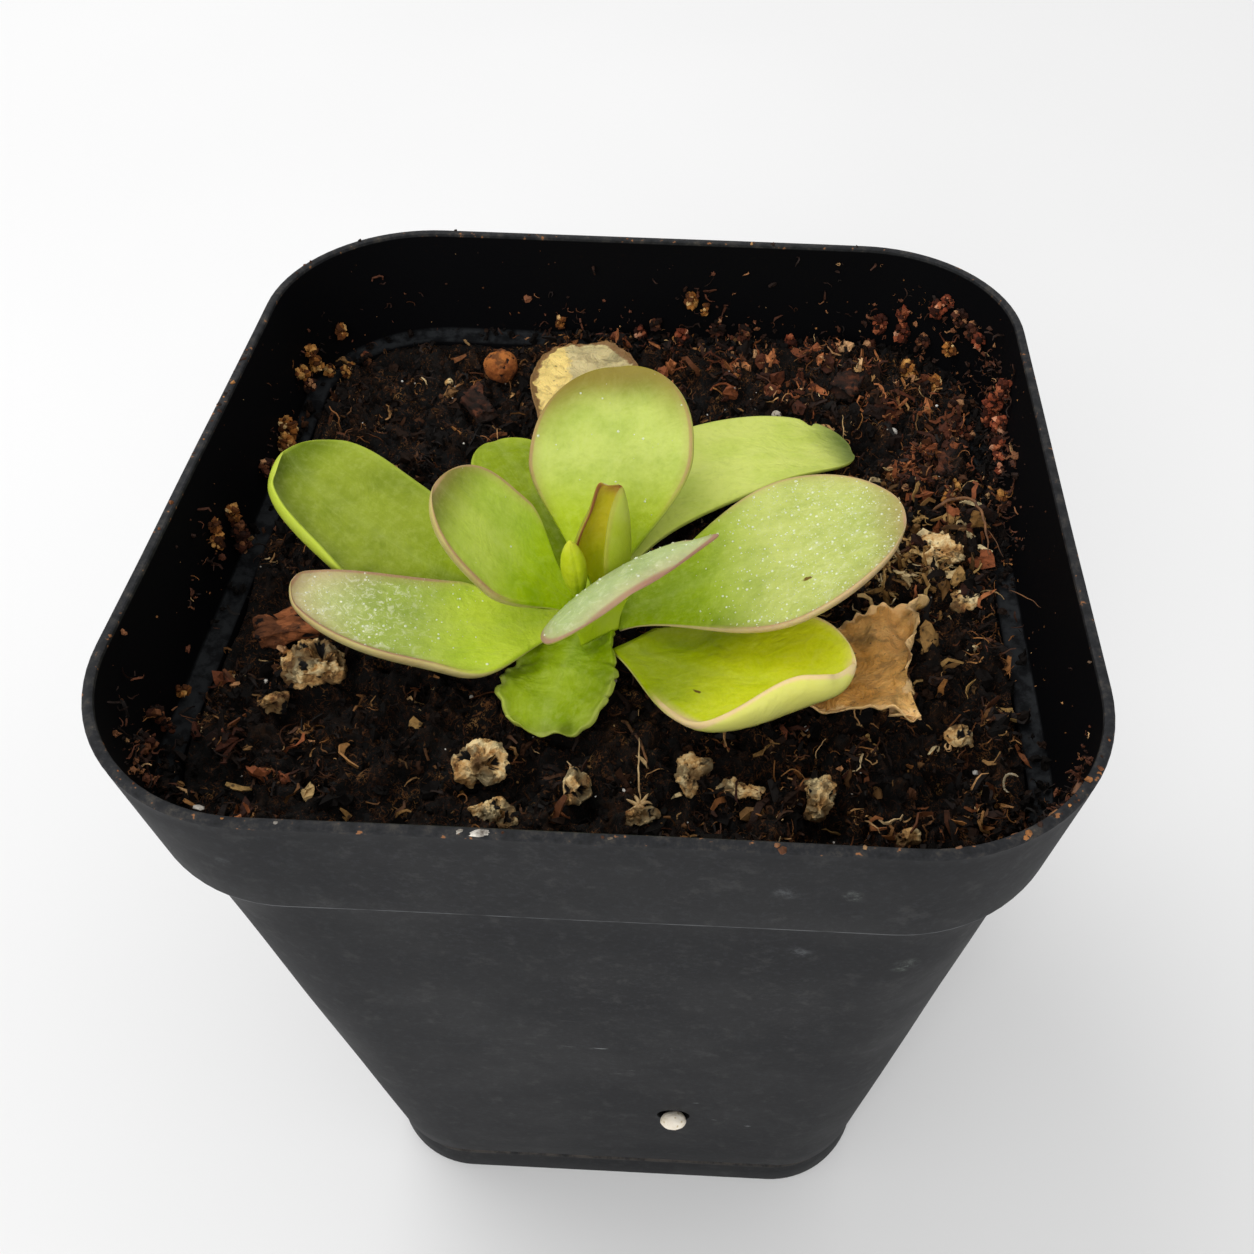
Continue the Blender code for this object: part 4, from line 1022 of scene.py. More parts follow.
def makeLeafMaterial(name, leaf):
    material, shader, where = startMaterial(name + "Skin")
    along, across, upper, rim = [readAttribute(where, part) for part in ("along", "across", "upper", "rim")]
    base, middle, tip = leaf["tones"]
    cloud, grain = noiseAt(where, 190, 4, 0.55), noiseAt(where, 1100, 4, 0.7)
    colour = rampTones(along, [(0.0, base), (0.28, base), (0.6, middle), (leaf.get("tipFrom", 0.85), middle),
                               (1.0, tip)], "EASE")
    colour = paint(colour, (spread(cloud, 0.35, 0.7, 0.0, 0.22), "ffffff", "SOFT_LIGHT"),
                   (spread(cloud, 0.55, 0.3, 0.0, 0.25), "3f5a00", "SOFT_LIGHT"),
                   (spread(grain, 0.45, 0.7, 0.0, 0.09), "e2ec9c"),
                   (spread(grain, 0.5, 0.3, 0.0, 0.12), "5c7a08"))
    if leaf.get("crinkle"):
        # darker green lines: painted shade in the blade's folds, and darker veins
        foldShadeAndVeins = spread(noiseAt(where, 330, 4, 0.6, 1.4), 0.52, 0.66)
        colour = paint(colour, (times(foldShadeAndVeins, 0.12), "5f8208"))
    # a paler rib and fine streaks beside it
    streak = noiseAt(combine(where.id_data, X=times(along, 3.0), Y=times(across, 16.0)), 1.0, 3, 0.6)
    colour = paint(colour, (times(spread(calc("ABSOLUTE", across), 0.16, 0.0), 0.05), "d6e39a"),
                   (spread(streak, 0.5, 0.75, 0.0, 0.07), "cddc8e"))
    if leaf.get("frost"):
        # painted highlights: a whitish haze and small white stars standing in for light glinting on the
        # sticky droplets
        zone = times(spread(along, 0.4, 0.75), spread(rim, 0.3, 1.6))
        glintHaze = times(spread(noiseAt(where, 1100, 5, 0.75, 1.0), 0.5, 0.64), zone)
        glintStars = times(spread(cellsAt(where, 1250), 0.2, 0.11), zone,
                      spread(noiseAt(where, 300, 2), 0.48, 0.58))
        colour = paint(colour, (times(glintHaze, leaf["frost"] * 0.7), "e6edcc"),
                       (times(glintStars, leaf["frost"]), "f6faea"))
    # a pink margin, each side in its own strength
    side = times(spread(across, -0.3, 0.3, *leaf["pink"]), spread(along, 0.25, 0.55))
    reach = leaf.get("pinkWide", 1.0)
    edge = times(spread(rim, 0.6 * reach, 0.2 * reach), side)
    wide = times(spread(rim, 1.7 * reach, 0.3), times(side, 0.28))
    colour = paint(colour, (calc("MAXIMUM", edge, wide), leaf["rimTone"]))
    if leaf.get("blush"):
        warm = plus(times(spread(rim, 5.0, 0.4), spread(along, 0.6, 0.95)),
                    spread(along, 0.84, 0.98, 0.0, 0.3))
        colour = paint(colour, (times(warm, leaf["blush"]), leaf.get("blushTone", leaf["rimTone"])))
    below = mixTones(times(edge, 0.35), tone(leaf["under"]), tone(leaf["rimTone"]))
    below = paint(below, (spread(cloud, 0.4, 0.7, 0.0, 0.2), "d5dc90"))
    colour = mixTones(upper, below, colour)
    if leaf.get("spot"):
        near = plus(*[calc("POWER", times(minus(part, middle), tightness), 2.0)
                      for part, middle, tightness in zip((along, across), leaf["spot"], (34.0, 24.0))])
        near = plus(near, times(noiseAt(where, 3000, 3), 0.8))
        colour = paint(colour, (times(spread(near, 0.9, 0.5), upper), "6a4f12"))
    under = bumpFrom(noiseAt(where, 260, 3, 0.55, 0.6), 0.7 + 1.3 * leaf.get("crinkle", 0), 0.45)
    dress(shader, colour=mixTones(1.0, colour, (1.0, 0.96, 0.94, 1.0), "MULTIPLY"), rough=0.4, gloss=0.3,
          sheen=(1.0, 1.0, 0.35, 1.0), glow=leaf.get("glow", 0.25), glowReach=(0.9, 1.0, 0.25),
          glowScale=1.0 * mm,
          bump=bumpFrom(noiseAt(where, 1500, 4, 0.65), 0.1, 0.5 + 0.5 * leaf.get("dew", 0), under))
    return material


def makeDeadMaterial(name, leaf):
    material, shader, where = startMaterial(name + "Skin")
    along, across, rim = [readAttribute(where, part) for part in ("along", "across", "rim")]
    base, middle, tip = leaf["tones"]
    cloud = noiseAt(where, 160, 5, 0.65)
    colour = rampTones(plus(along, spread(cloud, 0.3, 0.7, -0.15, 0.15)),
                       [(0.35, base), (0.62, middle), (1.0, tip)])
    colour = paint(colour, (spread(noiseAt(where, 260, 4, 0.6), 0.5, 0.68, 0.0, 0.7), leaf["stain"]))
    if "lit" in leaf:
        # the left-hand half is paler and yellower
        half = spread(plus(across, spread(cloud, 0.3, 0.7, -0.5, 0.5)), 0.1, -0.25)
        colour = paint(colour, (half, leaf["lit"]))
    blotch = spread(noiseAt(where, 520, 5, 0.7, 0.8), 0.5, 0.62)
    veins = spread(cellsAt(where, 320, "DISTANCE_TO_EDGE"), 0.09, 0.0)
    fray = plus(rim, spread(noiseAt(where, 700, 3), 0.3, 0.7, -0.4, 0.4))
    colour = paint(colour, (times(blotch, 0.35), "5f4526"), (times(veins, leaf["veins"]), "5b3c1c"),
                   (spread(fray, 1.0, 0.65, 0.0, 0.95), leaf["rimTone"]),
                   (times(spread(noiseAt(where, 1500, 2), 0.68, 0.74), 0.7), "3a2612"))
    folds = bumpFrom(noiseAt(where, 420, 5, 0.7, 1.2), 0.9, 1.0)
    dress(shader, colour=colour, rough=0.6, glow=0.1, glowReach=(0.6, 0.35, 0.12), glowScale=0.5 * mm,
          bump=bumpFrom(noiseAt(where, 1400, 4, 0.7), 0.15, 0.6, folds))
    return material


blades = {}
for slot, makeLook, group in (("leaf", makeLeafMaterial, leaves),
                              ("dead_leaf", makeDeadMaterial, deadLeaves)):
    for name, leaf in group.items():
        blades[name] = addPiece(name + "Blade", makeLeafMesh(name, leaf), makeLook(name, leaf), slot, name)
print("leaves", sum(len(blade.data.polygons) for blade in blades.values()))


# bits on the ledge and the inner wall, thrown over a thin liner that's dropped afterwards

# each clump: its middle, how wide it spreads and how thick it is
liner = {"ledge": (40.5, 42.3, 86.05), "top": 99.4, "topHalf": 43.97, "steps": 26, "outlineSteps": (12, 40),
         "clumps": ((-42.6, 34.4, 88, 4.5, 1.0), (-42.8, 27, 90, 3.5, 0.8), (-43, 15, 90.5, 3, 1.2),
                    (-43, -7, 93, 4, 0.8), (-43, -12, 91, 4, 0.6), (-43.3, -30, 92, 6, 1.2),
                    (-41, -36, 90, 6, 1.4),
                    (43.4, 30, 93, 4, 1.6), (43.2, 24, 92, 5, 2.4), (43, 17, 90, 5, 2.4),
                    (42.8, 12, 88.5, 4, 2.0),
                    (36, 42, 91, 6, 1.6), (22, 43, 90, 7, 1.0), (6, 43, 89.5, 7, 1.0), (-12, 43, 88, 6, 0.8),
                    (43, 3, 88.5, 4, 0.8), (41, -36, 95, 6, 1.6), (43, -26, 93, 4, 0.4),
                    (-33, 43, 94, 4, 0.5), (-38, 38, 92, 5, 0.4))}
# rows as for the bits on the mix
linerBits = {
    "ledgeCrumbs": ("peatCrumbs", "lumps", 1.1e6, 5, 0.3, 0.85, 1.6, 0.35, fullTilt, "heaped"),
    "ledgeFlakes": ("peatFlakes", "flakes", 9e5, 6, 0.5, 2.0, 2.0, 0.6, 0.9, "heaped"),
    "wallClumps": ("wallFlakes", "lumps", 2.2e5, 7, 0.15, 0.6, 2.0, 0.2, fullTilt, "clumped"),
    "wallFlakes": ("wallFlakes", "curls", 5.5e5, 9, 0.6, 3.0, 2.0, 0.4, 1.3, "clumped"),
    "wallFibres": ("peatFibres", "fibres", 9e4, 10, 0.8, 3.4, 1.6, 0.2, 0.4, "clumped"),
    "wallSpecks": ("peatFibres", "grains", 1.7e5, 14, 0.05, 0.2, 2.5, 0.03, fullTilt, "specked"),
    "wallShreds": ("peatFibres", "flakes", 3.2e4, 15, 0.3, 1.1, 2.0, 0.06, 0.2, "specked"),
}


def makeLiner():
    low, high, level = liner["ledge"]
    sections = [(low, level), ((low + high) / 2, level), (high, level)]
    for i in range(liner["steps"]):
        share = (i + 0.5) / liner["steps"]
        sections.append((high + 0.15 + (liner["topHalf"] - high - 0.15) * share,
                         level + (liner["top"] - level) * share))
    rings = np.array([outline(half, half * 0.385, height, *liner["outlineSteps"]) for half,
                      height in sections])
    mesh = meshFromRings("liner", rings * mm, False, True)
    if mesh.polygons[0].normal.z < 0:
        mesh.flip_normals()
    x, y, z = rings.reshape(-1, 3).T
    clumps = np.zeros(len(x))
    for middleX, middleY, middleZ, wide, weight in liner["clumps"]:
        away = ((x - middleX) ** 2 + (y - middleY) ** 2 + ((z - middleZ) * 1.2) ** 2) / wide ** 2
        clumps += weight * np.exp(-away)
    patch = noiseOver(x * 0.12, y * 0.12, z * 0.2)
    ragged = noiseOver(x * 0.35, y * 0.35, z * 0.35)
    nearFoot = np.exp(-(z - level) / 2.5)
    onLedge = (z < level + 0.3).astype(float)
    # the ledge stays nearly clear along the left and is buried at the front and the back right
    covered = (easeStep((-y - 24) / 8) + easeStep((x - 20) / 14) * easeStep((y + 8) / 20)
               + easeStep((y - 30) / 8) * easeStep((x + 12) / 8))
    bare = 0.12 + 0.25 * np.clip(patch, 0, 1) + 0.3 * easeStep(x / 20) * np.clip(0.4 + patch, 0, 1)
    storeNumbers(mesh, "heaped", onLedge * np.clip(covered + clumps * 0.6 + bare, 0, 1.3)
                 * np.clip(0.85 + patch, 0.1, 1.5))
    storeNumbers(mesh, "clumped", np.clip(clumps, 0, 2.5) ** 1.5 * np.clip(0.5 + 2 * ragged, 0, 1.6)
                 + 0.3 * nearFoot * np.clip(covered, 0, 1))
    storeNumbers(mesh, "specked", (0.25 + 0.9 * np.clip(patch + 0.3, 0, 1)) * (0.35 + nearFoot)
                 * (1 + 1.6 * easeStep(x / 30)) * (1 - onLedge))
    return addHost("liner", mesh)


linerHost = makeLiner()
scatterBits(linerHost, linerBits)
dropHost(linerHost)
print("wall and ledge bits")


# bigger heaps of crumbs that cling to the wall: x, y, height and size of each

clodGrains = (5.5e6, 60, 0.16, 0.6, 1.3, 0.03, fullTilt, "full")
clods = {
    "red": {"tones": [(0, "1a0b06"), (0.35, "4a2012"), (0.7, "8a4026"), (0.92, "b86a44"), (1, "dca07c")],
        "at": (
        (42.7, 23.7, 91.9, 2.6), (43.1, 22.6, 95, 2.0), (42.5, 24, 89.5, 2.0), (42.7, 19.4, 92, 2.0),
        (42.6, 17.8, 90.5, 1.6), (42.5, 16, 89.7, 1.2), (42.4, 14.3, 89.4, 1.0), (39, 24.7, 86.9, 1.6),
        (37.8, 39, 95.7, 1.6), (36.8, 39.6, 94.4, 2.0), (41.6, 33.3, 94.1, 1.6), (18.4, 42.2, 86.4, 1.8),
        (30.2, 42.2, 90.1, 2.0), (33.1, 41.1, 89.7, 2.2), (32.8, 41.6, 92.2, 1.5), (4, 42.2, 86.7, 2.0),
        (-1.7, 42.3, 87.2, 1.6))},
    "brown": {"tones": [(0, "120a06"), (0.4, "2e1810"), (0.75, "5e3220"), (0.93, "94603c"), (1, "c89468")],
        "at": (
        (39.3, 29.6, 86.8, 2.0), (40.4, 24.6, 86.3, 1.6), (39.4, 37.2, 94.8, 2.0), (40.7, 35.2, 94.3, 1.8),
        (35.6, 39.6, 89.3, 1.8), (8.9, 42.4, 88.4, 1.8), (12.3, 42.3, 87.5, 2.0), (29, 42, 86.6, 1.6),
        (0.3, 42.4, 88.5, 1.4), (-42.5, 9.8, 89.1, 2.0), (-42.2, 10.4, 87, 1.4), (-37.2, 35.4, 86.2, 1.5),
        (-42.3, 27, 87.8, 1.6), (-42.5, -1.1, 89.5, 2.0), (-42.3, -1.5, 87.6, 1.6), (-42.6, -26.8, 89.9, 1.5),
        (-42.3, -26.1, 87.3, 1.5), (-42.2, -30.4, 90.1, 1.5))},
    "orange": {"tones": [(0, "2e170a"), (0.3, "6a3c1a"), (0.65, "a8692c"), (0.9, "d09a54"), (1, "ecc88c")],
        "at": (
        (-42.4, 17.4, 88.7, 2.6), (-42.3, 15.6, 87.9, 2.0), (-42.3, 30.2, 90.8, 1.5), (-42.1, 30.2, 89, 1.7),
        (-39.9, 35.5, 90.2, 1.6), (-42.6, 26.4, 90.2, 1.5), (-41.1, 32, 86.5, 1.5), (-38.9, 32.8, 86.1, 2.2),
        (-42.8, -0.8, 91.7, 1.6), (-43, -4.8, 93.4, 1.4), (-42.8, -5.6, 92.1, 1.4), (-42.3, -21.8, 87.3, 1.2),
        (33.5, 35.6, 87.8, 1.9), (34.6, 36.2, 86.4, 1.4), (37.3, 34.6, 86.3, 1.7), (38.7, 37, 90.2, 1.7),
        (37.6, 13.5, 87.2, 1.6), (36.6, 10.7, 87.8, 1.4), (42.4, 10.1, 89, 1.2), (5.1, 42.9, 92.2, 1.7),
        (6.9, 42.7, 90.8, 1.3), (-12.4, 42.4, 88.2, 1.2))},
}


def makeClods():
    density, seed, *values = clodGrains
    for index, (kind, clod) in enumerate(clods.items()):
        bm = bmesh.new()
        for x, y, z, size in clod["at"]:
            inward = Vector((-x, -y, 0)).normalized() * 0.2 * size
            matrix = Matrix.Translation((Vector((x, y, z)) + inward) * mm) @ Matrix.Diagonal(
                (0.36 * size * mm, 0.36 * size * mm, 0.55 * size * mm, 1))
            bmesh.ops.create_icosphere(bm, subdivisions=2, radius=1, matrix=matrix)
        mesh = meshFromBm(kind + "ClodHost", bm)
        storeNumbers(mesh, "full", np.ones(len(mesh.vertices)))
        host = addHost(kind + "ClodHost", mesh)
        look = makeBitMaterial(kind + "Clod", clod["tones"], 0.85, 0.2, 0.4)
        scatter(host, "growing_mix", kind + "Clods", look, "grains", density, seed + index, *values)
        dropHost(host)


def makeLipDust():
    # specks of soil along the top of the lip, thickest at the back left and the front right
    rings = np.array([outline(*section, *liner["outlineSteps"])
                      for section in ((44.25, 17.2, 99.97), (44.8, 17.8, 99.9))])
    mesh = meshFromRings("lipDustHost", rings * mm, False)
    x, y = rings.reshape(-1, 3).T[:2]
    storeNumbers(mesh, "dusty", np.clip(0.25 + 1.5 * noiseOver(x * 0.16, y * 0.16, 2.2), 0.02, 1)
                 * (0.25 + hill(x, y, -44, 18, 6, 20) + hill(x, y, 40, -34, 10, 14)))
    host = addHost("lipDustHost", mesh)
    scatterBits(host, {"lipDust": ("peatFibres", "grains", 4e6, 71, 0.06, 0.42, 1.6, 0.02, fullTilt,
                                   "dusty")})
    dropHost(host)


makeClods()
makeLipDust()
print("heaps on the wall and dust on the lip")


# stones, chips and grains: each swells and is pitted on its own box

stones = {
    "pumice": dict(rough=1.1, pit=1.9, depth=1.6, pits=0.7, shrink=(1.0, 0.76, 0.85), slot="pumice"),
    "clay_pellet": dict(rough=0.25, pit=0.7, depth=0.22, pits=0.4, slot="clay"),
    "perlite_in_hole": dict(rough=0.22, pit=0.4, depth=0.1, pits=0.4, shrink=(1.16, 1.0, 0.84),
                            slot="perlite"),
    "perlite": dict(rough=0.22, pit=0.4, depth=0.1, pits=0.4, shrink=(0.65, 0.65, 0.8), slot="perlite"),
    "bark": dict(rough=0.75, pit=1.0, depth=0.5, pits=0.6, slot="bark"),
}
# light, middle and dark tones, the pits' painted shade tone, how much soil clings, roughness and how the
# grain stretches
barkStretch = (0.35, 1.6, 1.6)
stoneTones = {
    "pumiceStone": ("f4dca6", "cda164", "8a5a30", "080403", 0.7),
    "clayStone": ("b0692e", "8a4a1e", "4e2810", "1f0e07", 0.65),
    "perliteStone": ("f2eee6", "dcd4c6", "b7a994", "6a5a45", 0.12, 0.7),
    "creamGrain": ("f2eadb", "ece2d0", "e0d4be", "c8b898", 0.0, 0.7),
    "barkStone": ("5e321b", "34190c", "160b05", "0a0402", 0.8, 0.85, barkStretch),
    "brightBarkStone": ("a8643a", "74401f", "341a0c", "120805", 0.6, 0.85, barkStretch),
}
# a few don't look like the rest of their kind
stoneLooks = {"perlite_3": "pumiceStone", "bark_chip_1": "brightBarkStone", "perlite_in_hole": "creamGrain",
              "clay_pellet": "clayStone"}


def makeStoneTree():
    tree, given = startTree("stoneRelief", rough=("Float", 0.3), pit=("Float", 1.0), depth=("Float", 0.5),
                            pits=("Float", 0.5), seed=("Float", 0.0))
    place = tree.nodes.new("GeometryNodeInputPosition").outputs[0]
    normal = tree.nodes.new("GeometryNodeInputNormal").outputs[0]
    where = seededPlace(tree, vectorCalc("SCALE", place, scale=1000.0), given["seed"], "X", "Y")
    push = times(plus(times(minus(noiseAt(where, 0.42, 2, 0.5), 0.5), 3.0),
                      times(minus(noiseAt(where, 1.7, 4, 0.65), 0.5), 1.1)), given["rough"])
    bent = warpPlace(where, 0.9, 2.0, 1.3)
    holes = []
    for scale, amount in ((1.0, 1.0), (2.4, 0.4)):
        cells = addNode(tree, "ShaderNodeTexVoronoi", {
            "Vector": bent, "Scale": calc("DIVIDE", scale, given["pit"])}).outputs
        chosen = calc("LESS_THAN", separate(cells["Color"], 0), given["pits"])
        holes.append(times(spread(cells["Distance"], 0.44, 0.26), chosen, amount))
    hole = calc("MAXIMUM", *holes)
    push = minus(push, times(hole, given["depth"]))
    moved = movePoints(given["Geometry"], vectorCalc("SCALE", normal, scale=times(push, mm)))
    addNode(tree, "NodeGroupOutput", {"Geometry": keepNumbers(moved, "pit", hole)})
    return tree


def makeStoneMaterial(name, light, middle, dark, pitShadeTone, dirt, roughness=0.85, stretch=(1, 1, 1)):
    material, shader, where = startMaterial(name)
    along = addNode(where.id_data, "ShaderNodeMapping", {"Vector": where, "Scale": stretch}).outputs[0]
    colour = rampTones(noiseAt(along, 420, 5, 0.65), [(0.34, dark), (0.47, middle), (0.6, light)])
    foot = spread(separate(where, "Z"), (mix["level"] + 2.2) * mm, (mix["level"] + 0.8) * mm, 0.0, 0.14)
    soil = spread(plus(noiseAt(where, 330, 5, 0.7), foot), 0.47, 0.56)
    # soil clings low down; the pits get painted shade
    colour = paint(colour, (times(soil, dirt), "1c1109"), (spread(readAttribute(where, "pit"), 0.2, 0.5),
                                                           pitShadeTone))
    dress(shader, colour=colour, rough=roughness, gloss=0.3,
          bump=bumpFrom(noiseAt(along, 1500, 5, 0.75), 0.25, 0.8))
    return material


def stoneHost(node, kind, index):
    # the part's own shape, divided finely and a little rounder
    low, high = [np.array(corner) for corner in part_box(node)]
    longest = max(high - low)
    bm = bmesh.new()
    bm.from_mesh(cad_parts[node].data)
    bmesh.ops.remove_doubles(bm, verts=bm.verts, dist=1e-5)
    rounds, cuts, factor = (1, 5, 0.4) if kind == "bark" else (3 if longest > 3.9 * mm else 2, 1, 0.5)
    for _ in range(rounds):
        bmesh.ops.subdivide_edges(bm, edges=bm.edges, cuts=cuts, use_grid_fill=True)
        bmesh.ops.smooth_vert(bm, verts=bm.verts, factor=factor, use_axis_x=True, use_axis_y=True,
                              use_axis_z=True)
    bmesh.ops.recalc_face_normals(bm, faces=bm.faces)
    shrink = stones[kind].get("shrink")
    if shrink:
        # these lie half buried, so they look smaller than they are, some along and some across
        if kind == "pumice" and index % 2:
            shrink = (shrink[1], shrink[0] * 0.92, shrink[2])
        anchor = Vector((*((low + high) / 2)[:2], low[2]))
        bmesh.ops.transform(bm, verts=bm.verts, matrix=Matrix.Translation(anchor)
                            @ Matrix.Diagonal((*shrink, 1)) @ Matrix.Translation(-anchor))
    mesh = meshFromBm(node + "Host", bm)
    for layer in ("sharp_edge", "sharp_face", "custom_normal"):
        if layer in mesh.attributes:
            mesh.attributes.remove(mesh.attributes[layer])
    mesh.shade_smooth()
    small = min(1.0, longest / (5 * mm))
    # the grain in the side hole is worn smooth
    return addHost(node + "Host", mesh), small * 0.3 if kind == "perlite_in_hole" else small


def makeStones():
    tree = makeStoneTree()
    looks = {name: makeStoneMaterial(name, *values) for name, values in stoneTones.items()}
    faces = 0
    for index, node in enumerate(sorted(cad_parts)):
        kind = next((key for key in stones if node.startswith(key)), None)
        if not kind:
            continue
        values = stones[kind]
        host, small = stoneHost(node, kind, index)
        shaped = runTree(tree, host, node + "Stone", rough=values["rough"] * (0.4 + 0.6 * small),
                         pit=values["pit"] * (0.5 + 0.5 * small), depth=values["depth"] * small,
                         pits=values["pits"], seed=index * 4.7)
        dropHost(host)
        if kind == "pumice":
            shaped.set_sharp_from_angle(angle=math.radians(42))
        look = looks[stoneLooks.get(node, kind + "Stone")]
        addPiece(node + "Stone", shaped, look, values["slot"], node)
        faces += len(shaped.polygons)
    print("stones", faces)


makeStones()


# stems, twigs and hairs

# points of the first two: x, y and height above the mix; of the others: x, y and height
stems = {
    "twig_right": dict(points=((33.6, 8.2, 1.2), (35.4, 8.6, 2.1), (37.2, 8.3, 2.7), (38.4, 6.6, 3.2),
                               (39.2, 3.6, 3.8), (38.6, -2.0, 5.0)), thick=0.24),
    "twig_front": dict(points=((1.0, -21.5, 0.9), (2.2, -23.2, 1.4), (3.4, -25.4, 1.5), (4.4, -27.6, 1.0)),
                       thick=0.2),
}
# a name, its points, thickness, seed, sides and taper
hairs = {
    "stalk": (((3.3, -25.9, 88.6), (3.2, -27.4, 87.9), (3.6, -29.2, 87.4), (3.7, -31.6, 86.2)),
              0.07, 5, 6, -0.5),
    "thinStem": (((37.6, 8.6, 87.6), (39.2, 6.4, 88.4), (40.4, 3.8, 88.6), (41.2, 1.0, 88.2)), 0.1, 9, 5),
    "looseHair": (((40.4, -6.5, 90.6), (41.6, -7.6, 91.2), (43.0, -9.6, 91.6)), 0.07, 11, 5),
    "holeHair": (((7.3, -33.7, 26.6), (7.0, -34.2, 27.6), (7.3, -34.6, 28.3)), 0.13, 12, 5),
}
starAt = (3.7, -31.8, 86.0)
# the small sideways shake of each stem draws from this
noise.seed_set(5)


def makeStemMesh(name, spots, thick, seed=1, sides=8, taper=0.45, knots=0.15):
    spots = np.array(spots, float)
    for _ in range(3):
        spots = np.array([spot for a, b in zip(spots, spots[1:]) for spot in (a, (a + b) / 2)] + [spots[-1]])
        spots[1:-1] = (spots[:-2] + 2 * spots[1:-1] + spots[2:]) / 4
    rings = []
    for i, spot in enumerate(spots):
        along = spots[min(i + 1, len(spots) - 1)] - spots[max(i - 1, 0)]
        along /= np.linalg.norm(along)
        side = np.cross(along, (0.1, 0.2, 1))
        side /= np.linalg.norm(side)
        up = np.cross(side, along)
        share = i / (len(spots) - 1)
        spot = spot + np.array(noise.noise_vector(Vector(spot.tolist()) * 0.9 + Vector((seed, 0, 0)))) * 0.22
        size = thick * (1 - taper * share) * (1 + knots * noise.noise(Vector((share * 22, seed, 0))))
        size *= min(1, 4 * min(share, 1 - share) + 0.35)
        rings.append([spot + (side * math.cos(a) + up * math.sin(a)) * size
                      for a in np.linspace(0, 2 * np.pi, sides, False)])
    return turnOutwards(meshFromRings(name, np.array(rings) * mm))


def makeFibreMaterial(name, light, dark):
    material, shader, where = startMaterial(name)
    cloud = noiseAt(where, 700, 4, 0.65)
    dress(shader, colour=rampTones(cloud, [(0.35, dark), (0.65, light)]), rough=0.7,
          bump=bumpFrom(cloud, 0.1, 0.6))
    return material


def makeStems():
    brown = makeFibreMaterial("driedStem", "8a5c34", "3a2212")
    pale = makeFibreMaterial("paleStalk", "d8b884", "8a6232")
    for name, stem in stems.items():
        spots = [(x, y, float(mixHeight(x, y)) + up) for x, y, up in stem["points"]]
        addPiece(name + "Stem", makeStemMesh(name + "Stem", spots, stem["thick"], 3), brown, "twig", name)
    for name, values in hairs.items():
        addPiece(name, makeStemMesh(name, *values), pale if name == "stalk" else brown, "twig")
    # a small star of scales at the pale stalk's foot
    x, y, z = starAt
    for i in range(7):
        angle = math.radians(i * 51 + 12)
        long = 1.2 + 0.35 * (i % 3)
        tip = (x + long * math.cos(angle), y + long * math.sin(angle) * 0.8, z + 0.1 + 0.6 * (i % 2))
        middle = (x + long * 0.5 * math.cos(angle), y + long * 0.5 * math.sin(angle), z + 0.5)
        addPiece("stalkScale", makeStemMesh("scale", [starAt, middle, tip], 0.26, i, 5, 0.7), pale, "twig")


makeStems()
print("stems and hairs")


# grit, chips and a curl of film on and inside the lip

# x, y, height, length, width, thickness, turn and tone
lipBits = (
    (-7.8, -44.55, 99.95, 2.2, 0.75, 0.25, 4, "e4ded2"), (-9.4, -44.5, 99.95, 0.8, 0.5, 0.2, 30, "cfc8ba"),
    (15.6, -44.4, 99.95, 0.6, 0.5, 0.3, 0, "9a6236"), (29.9, -43.9, 99.9, 0.7, 0.45, 0.3, 20, "8a5a33"),
    (22.5, -44.3, 99.95, 0.5, 0.4, 0.25, 70, "b58a58"), (34.5, -42.6, 99.8, 1.4, 0.7, 0.35, 35, "8f5a30"),
    (38.0, -40.4, 99.6, 1.8, 0.8, 0.4, 48, "a06a3a"), (40.3, -37.6, 99.6, 1.6, 0.8, 0.4, 60, "7c4c28"),
    (-30.5, -43.4, 99.95, 0.9, 0.5, 0.25, -15, "b3ada2"), (-24.0, -44.5, 99.95, 0.5, 0.35, 0.2, 0, "8f8a82"),
    (2.5, -44.5, 99.95, 0.6, 0.35, 0.2, 10, "8b7c68"), (43.6, -24.0, 99.95, 0.4, 0.3, 0.2, 0, "9c7048"),
    (44.5, 3.5, 99.9, 0.45, 0.3, 0.2, 90, "a8804f"), (44.4, 12.0, 99.9, 0.35, 0.3, 0.2, 90, "8a6a48"))
lipBitDark = "3a2c1e"


def makeLipBits():
    for index, (x, y, z, long, wide, thick, turn, shade) in enumerate(lipBits):
        name = f"lipBit{index}"
        mesh = lumpShape(name, 120 + index, 0.5, (long / 2 * mm, wide / 2 * mm, thick / 2 * mm))
        mesh.transform(Matrix.Translation(Vector((x, y, z)) * mm)
                       @ Matrix.Rotation(math.radians(turn), 4, "Z"))
        mesh.shade_smooth()
        addPiece(name, mesh, makeFibreMaterial(name, shade, lipBitDark), "growing_mix")
    film, shader = startMaterial("paleFilm")[:2]
    dress(shader, colour=tone("cbb894"), rough=0.12, clear=0.5)
    ring = [(38.2 + 0.9 * math.cos(a) * (1 - 0.08 * a), -28.2 + 0.7 * math.sin(a),
             87.0 + 0.8 * math.sin(a + 0.6) + 0.12 * a) for a in np.linspace(0.6, 4.6, 8)]
    addPiece("filmCurl", makeStemMesh("filmCurl", ring, 0.15, 21, 8, 0.3, 0.5), film, "growing_mix")


makeLipBits()
print("bits on the lip")


# crown, youngest leaf and roots

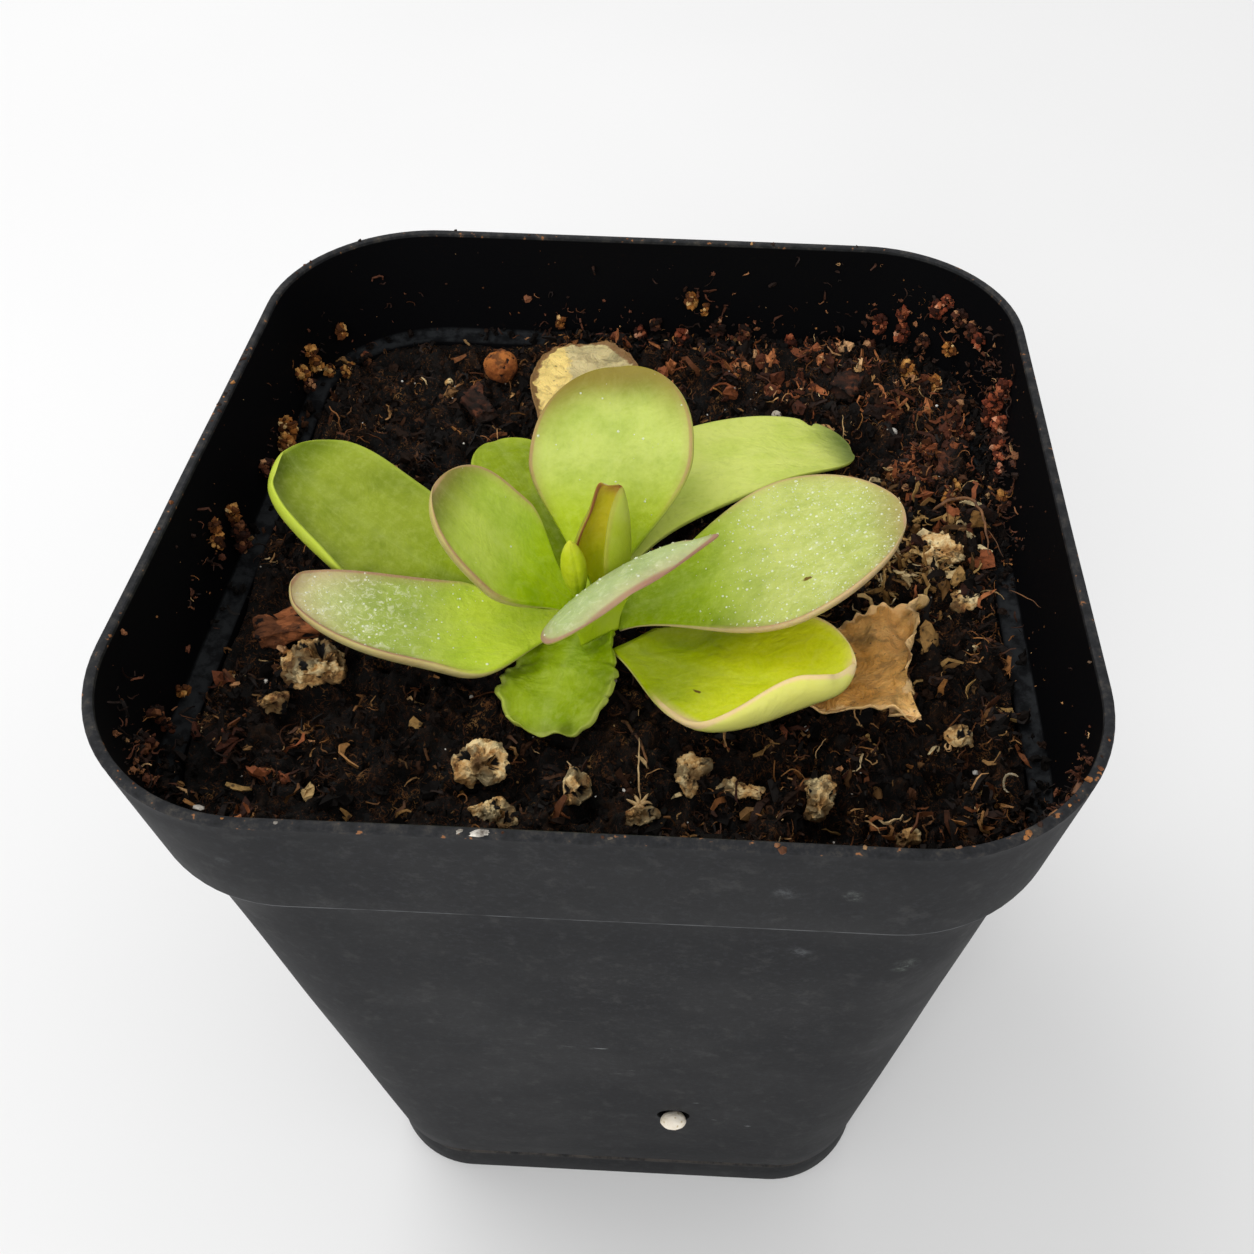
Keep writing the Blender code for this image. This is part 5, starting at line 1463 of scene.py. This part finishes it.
# radius and height up from the crown's foot
crownProfile = [(0.05, 9.2), (0.4, 9.15), (0.75, 8.9), (0.9, 8.4), (0.98, 7), (1.0, 5.6), (1.25, 4.2),
                (1.5, 3.1), (1.42, 1.6), (1.3, 0.5), (0.8, 0.1), (0.05, 0)]
crownFoot = 80
bud = {"length": 10.4, "radius": 1.42, "at": (crown[0] - 0.9, crown[1] - 1.6, 91.2), "lean": (-3, 5),
       "around": 36,
       "look": dict(tones=("9cb60e", "bccc22", "ccd23e"), rimTone="b3b840", under="a9c01c", pink=(0, 0))}


def turnedRings(profile, steps=28):
    angles = np.linspace(0, 2 * np.pi, steps, endpoint=False)
    return np.array([[(r * math.cos(a), r * math.sin(a), z) for a in angles] for r, z in profile])


def makeCrown():
    material, shader, where = startMaterial("crownSkin")
    dress(shader, colour=rampTones(noiseAt(where, 500, 4, 0.6), [(0.35, "77812f"), (0.65, "a9b25c")]),
          rough=0.55)
    rings = turnedRings(crownProfile)
    rings[:, :, :2] *= 1 + 0.06 * np.sin(rings[:, :, 2:] * 4)
    rings += (*crown, crownFoot)
    addPiece("crownStem", turnOutwards(meshFromRings("crownStem", rings * mm)), material, "crown",
             "crown_stem")


def makeBud():
    radius = bud["radius"]
    share = np.concatenate([np.linspace(0.003, 0.1, 6), np.linspace(0.14, 0.97, 26), [0.99, 1.0]])
    wide = [math.sin(math.pi * s ** 0.8) * (1 - 0.25 * s) * radius if s < 0.9
            else radius * 2.7 * (1 - s) + 0.12 for s in share]
    profile = list(zip(wide, bud["length"] * (1 - share)))
    rings = turnedRings(profile, bud["around"])
    angle = np.arctan2(rings[:, :, 1], rings[:, :, 0])
    # a groove where the leaf's edges meet
    rings[:, :, :2] *= (1 - 0.16 * np.exp(-((angle + 1.2) / 0.16) ** 2))[:, :, None]
    lean = [Matrix.Rotation(math.radians(by), 3, axis) for by, axis in zip(bud["lean"], "YX")]
    rings = rings @ np.array(lean[0] @ lean[1]).T + bud["at"]
    mesh = turnOutwards(meshFromRings("bud", rings * mm))
    every = np.ones(angle.shape)
    for label, values in {"along": 1 - share[:, None] * every, "across": np.sin(angle),
                          "upper": every, "rim": 2.0 * every}.items():
        storeNumbers(mesh, label, values)
    addPiece("budLeaf", mesh, makeLeafMaterial("budLeaf", bud["look"]), "leaf", "leaf_bud")


def paintRoots():
    look = makeFibreMaterial("rootSkin", "a48a63", "6a5237")
    for node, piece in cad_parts.items():
        if node.startswith("root_"):
            piece.data.materials.clear()
            piece.data.materials.append(look)


makeCrown()
makeBud()
paintRoots()
print("crown, bud and roots")


# droplets on the sticky leaves

dew = {"leaf_right": 2.2e6, "leaf_lower_left": 1.2e6, "leaf_back": 8e4, "leaf_raised_front": 2e5,
       "leaf_mid_left": 4e4}
# seed, smallest, largest, share of small ones, height above the leaf, tilt and where
dewValues = (17, 0.05, 0.2, 4.0, 0.02, 0.0, "wet")


def makeDew():
    material, shader = startMaterial("dewDrops")[:2]
    dress(shader, colour=tone("f4f8e4"), rough=0.1, bending=1.4, clear=0.45)
    drops = [lumpShape(f"drop{i}", 90 + i, 0.08, (1, 1, 0.7), True) for i in range(3)]
    for drop in drops:
        drop.shade_smooth()
    shapes["drops"] = makeCollection("drops", drops)
    for name, density in dew.items():
        piece = scatter(blades[name], "leaf", name + "Dew", material, "drops", density, *dewValues)
        piece.visible_shadow = False


makeDew()
print("droplets")
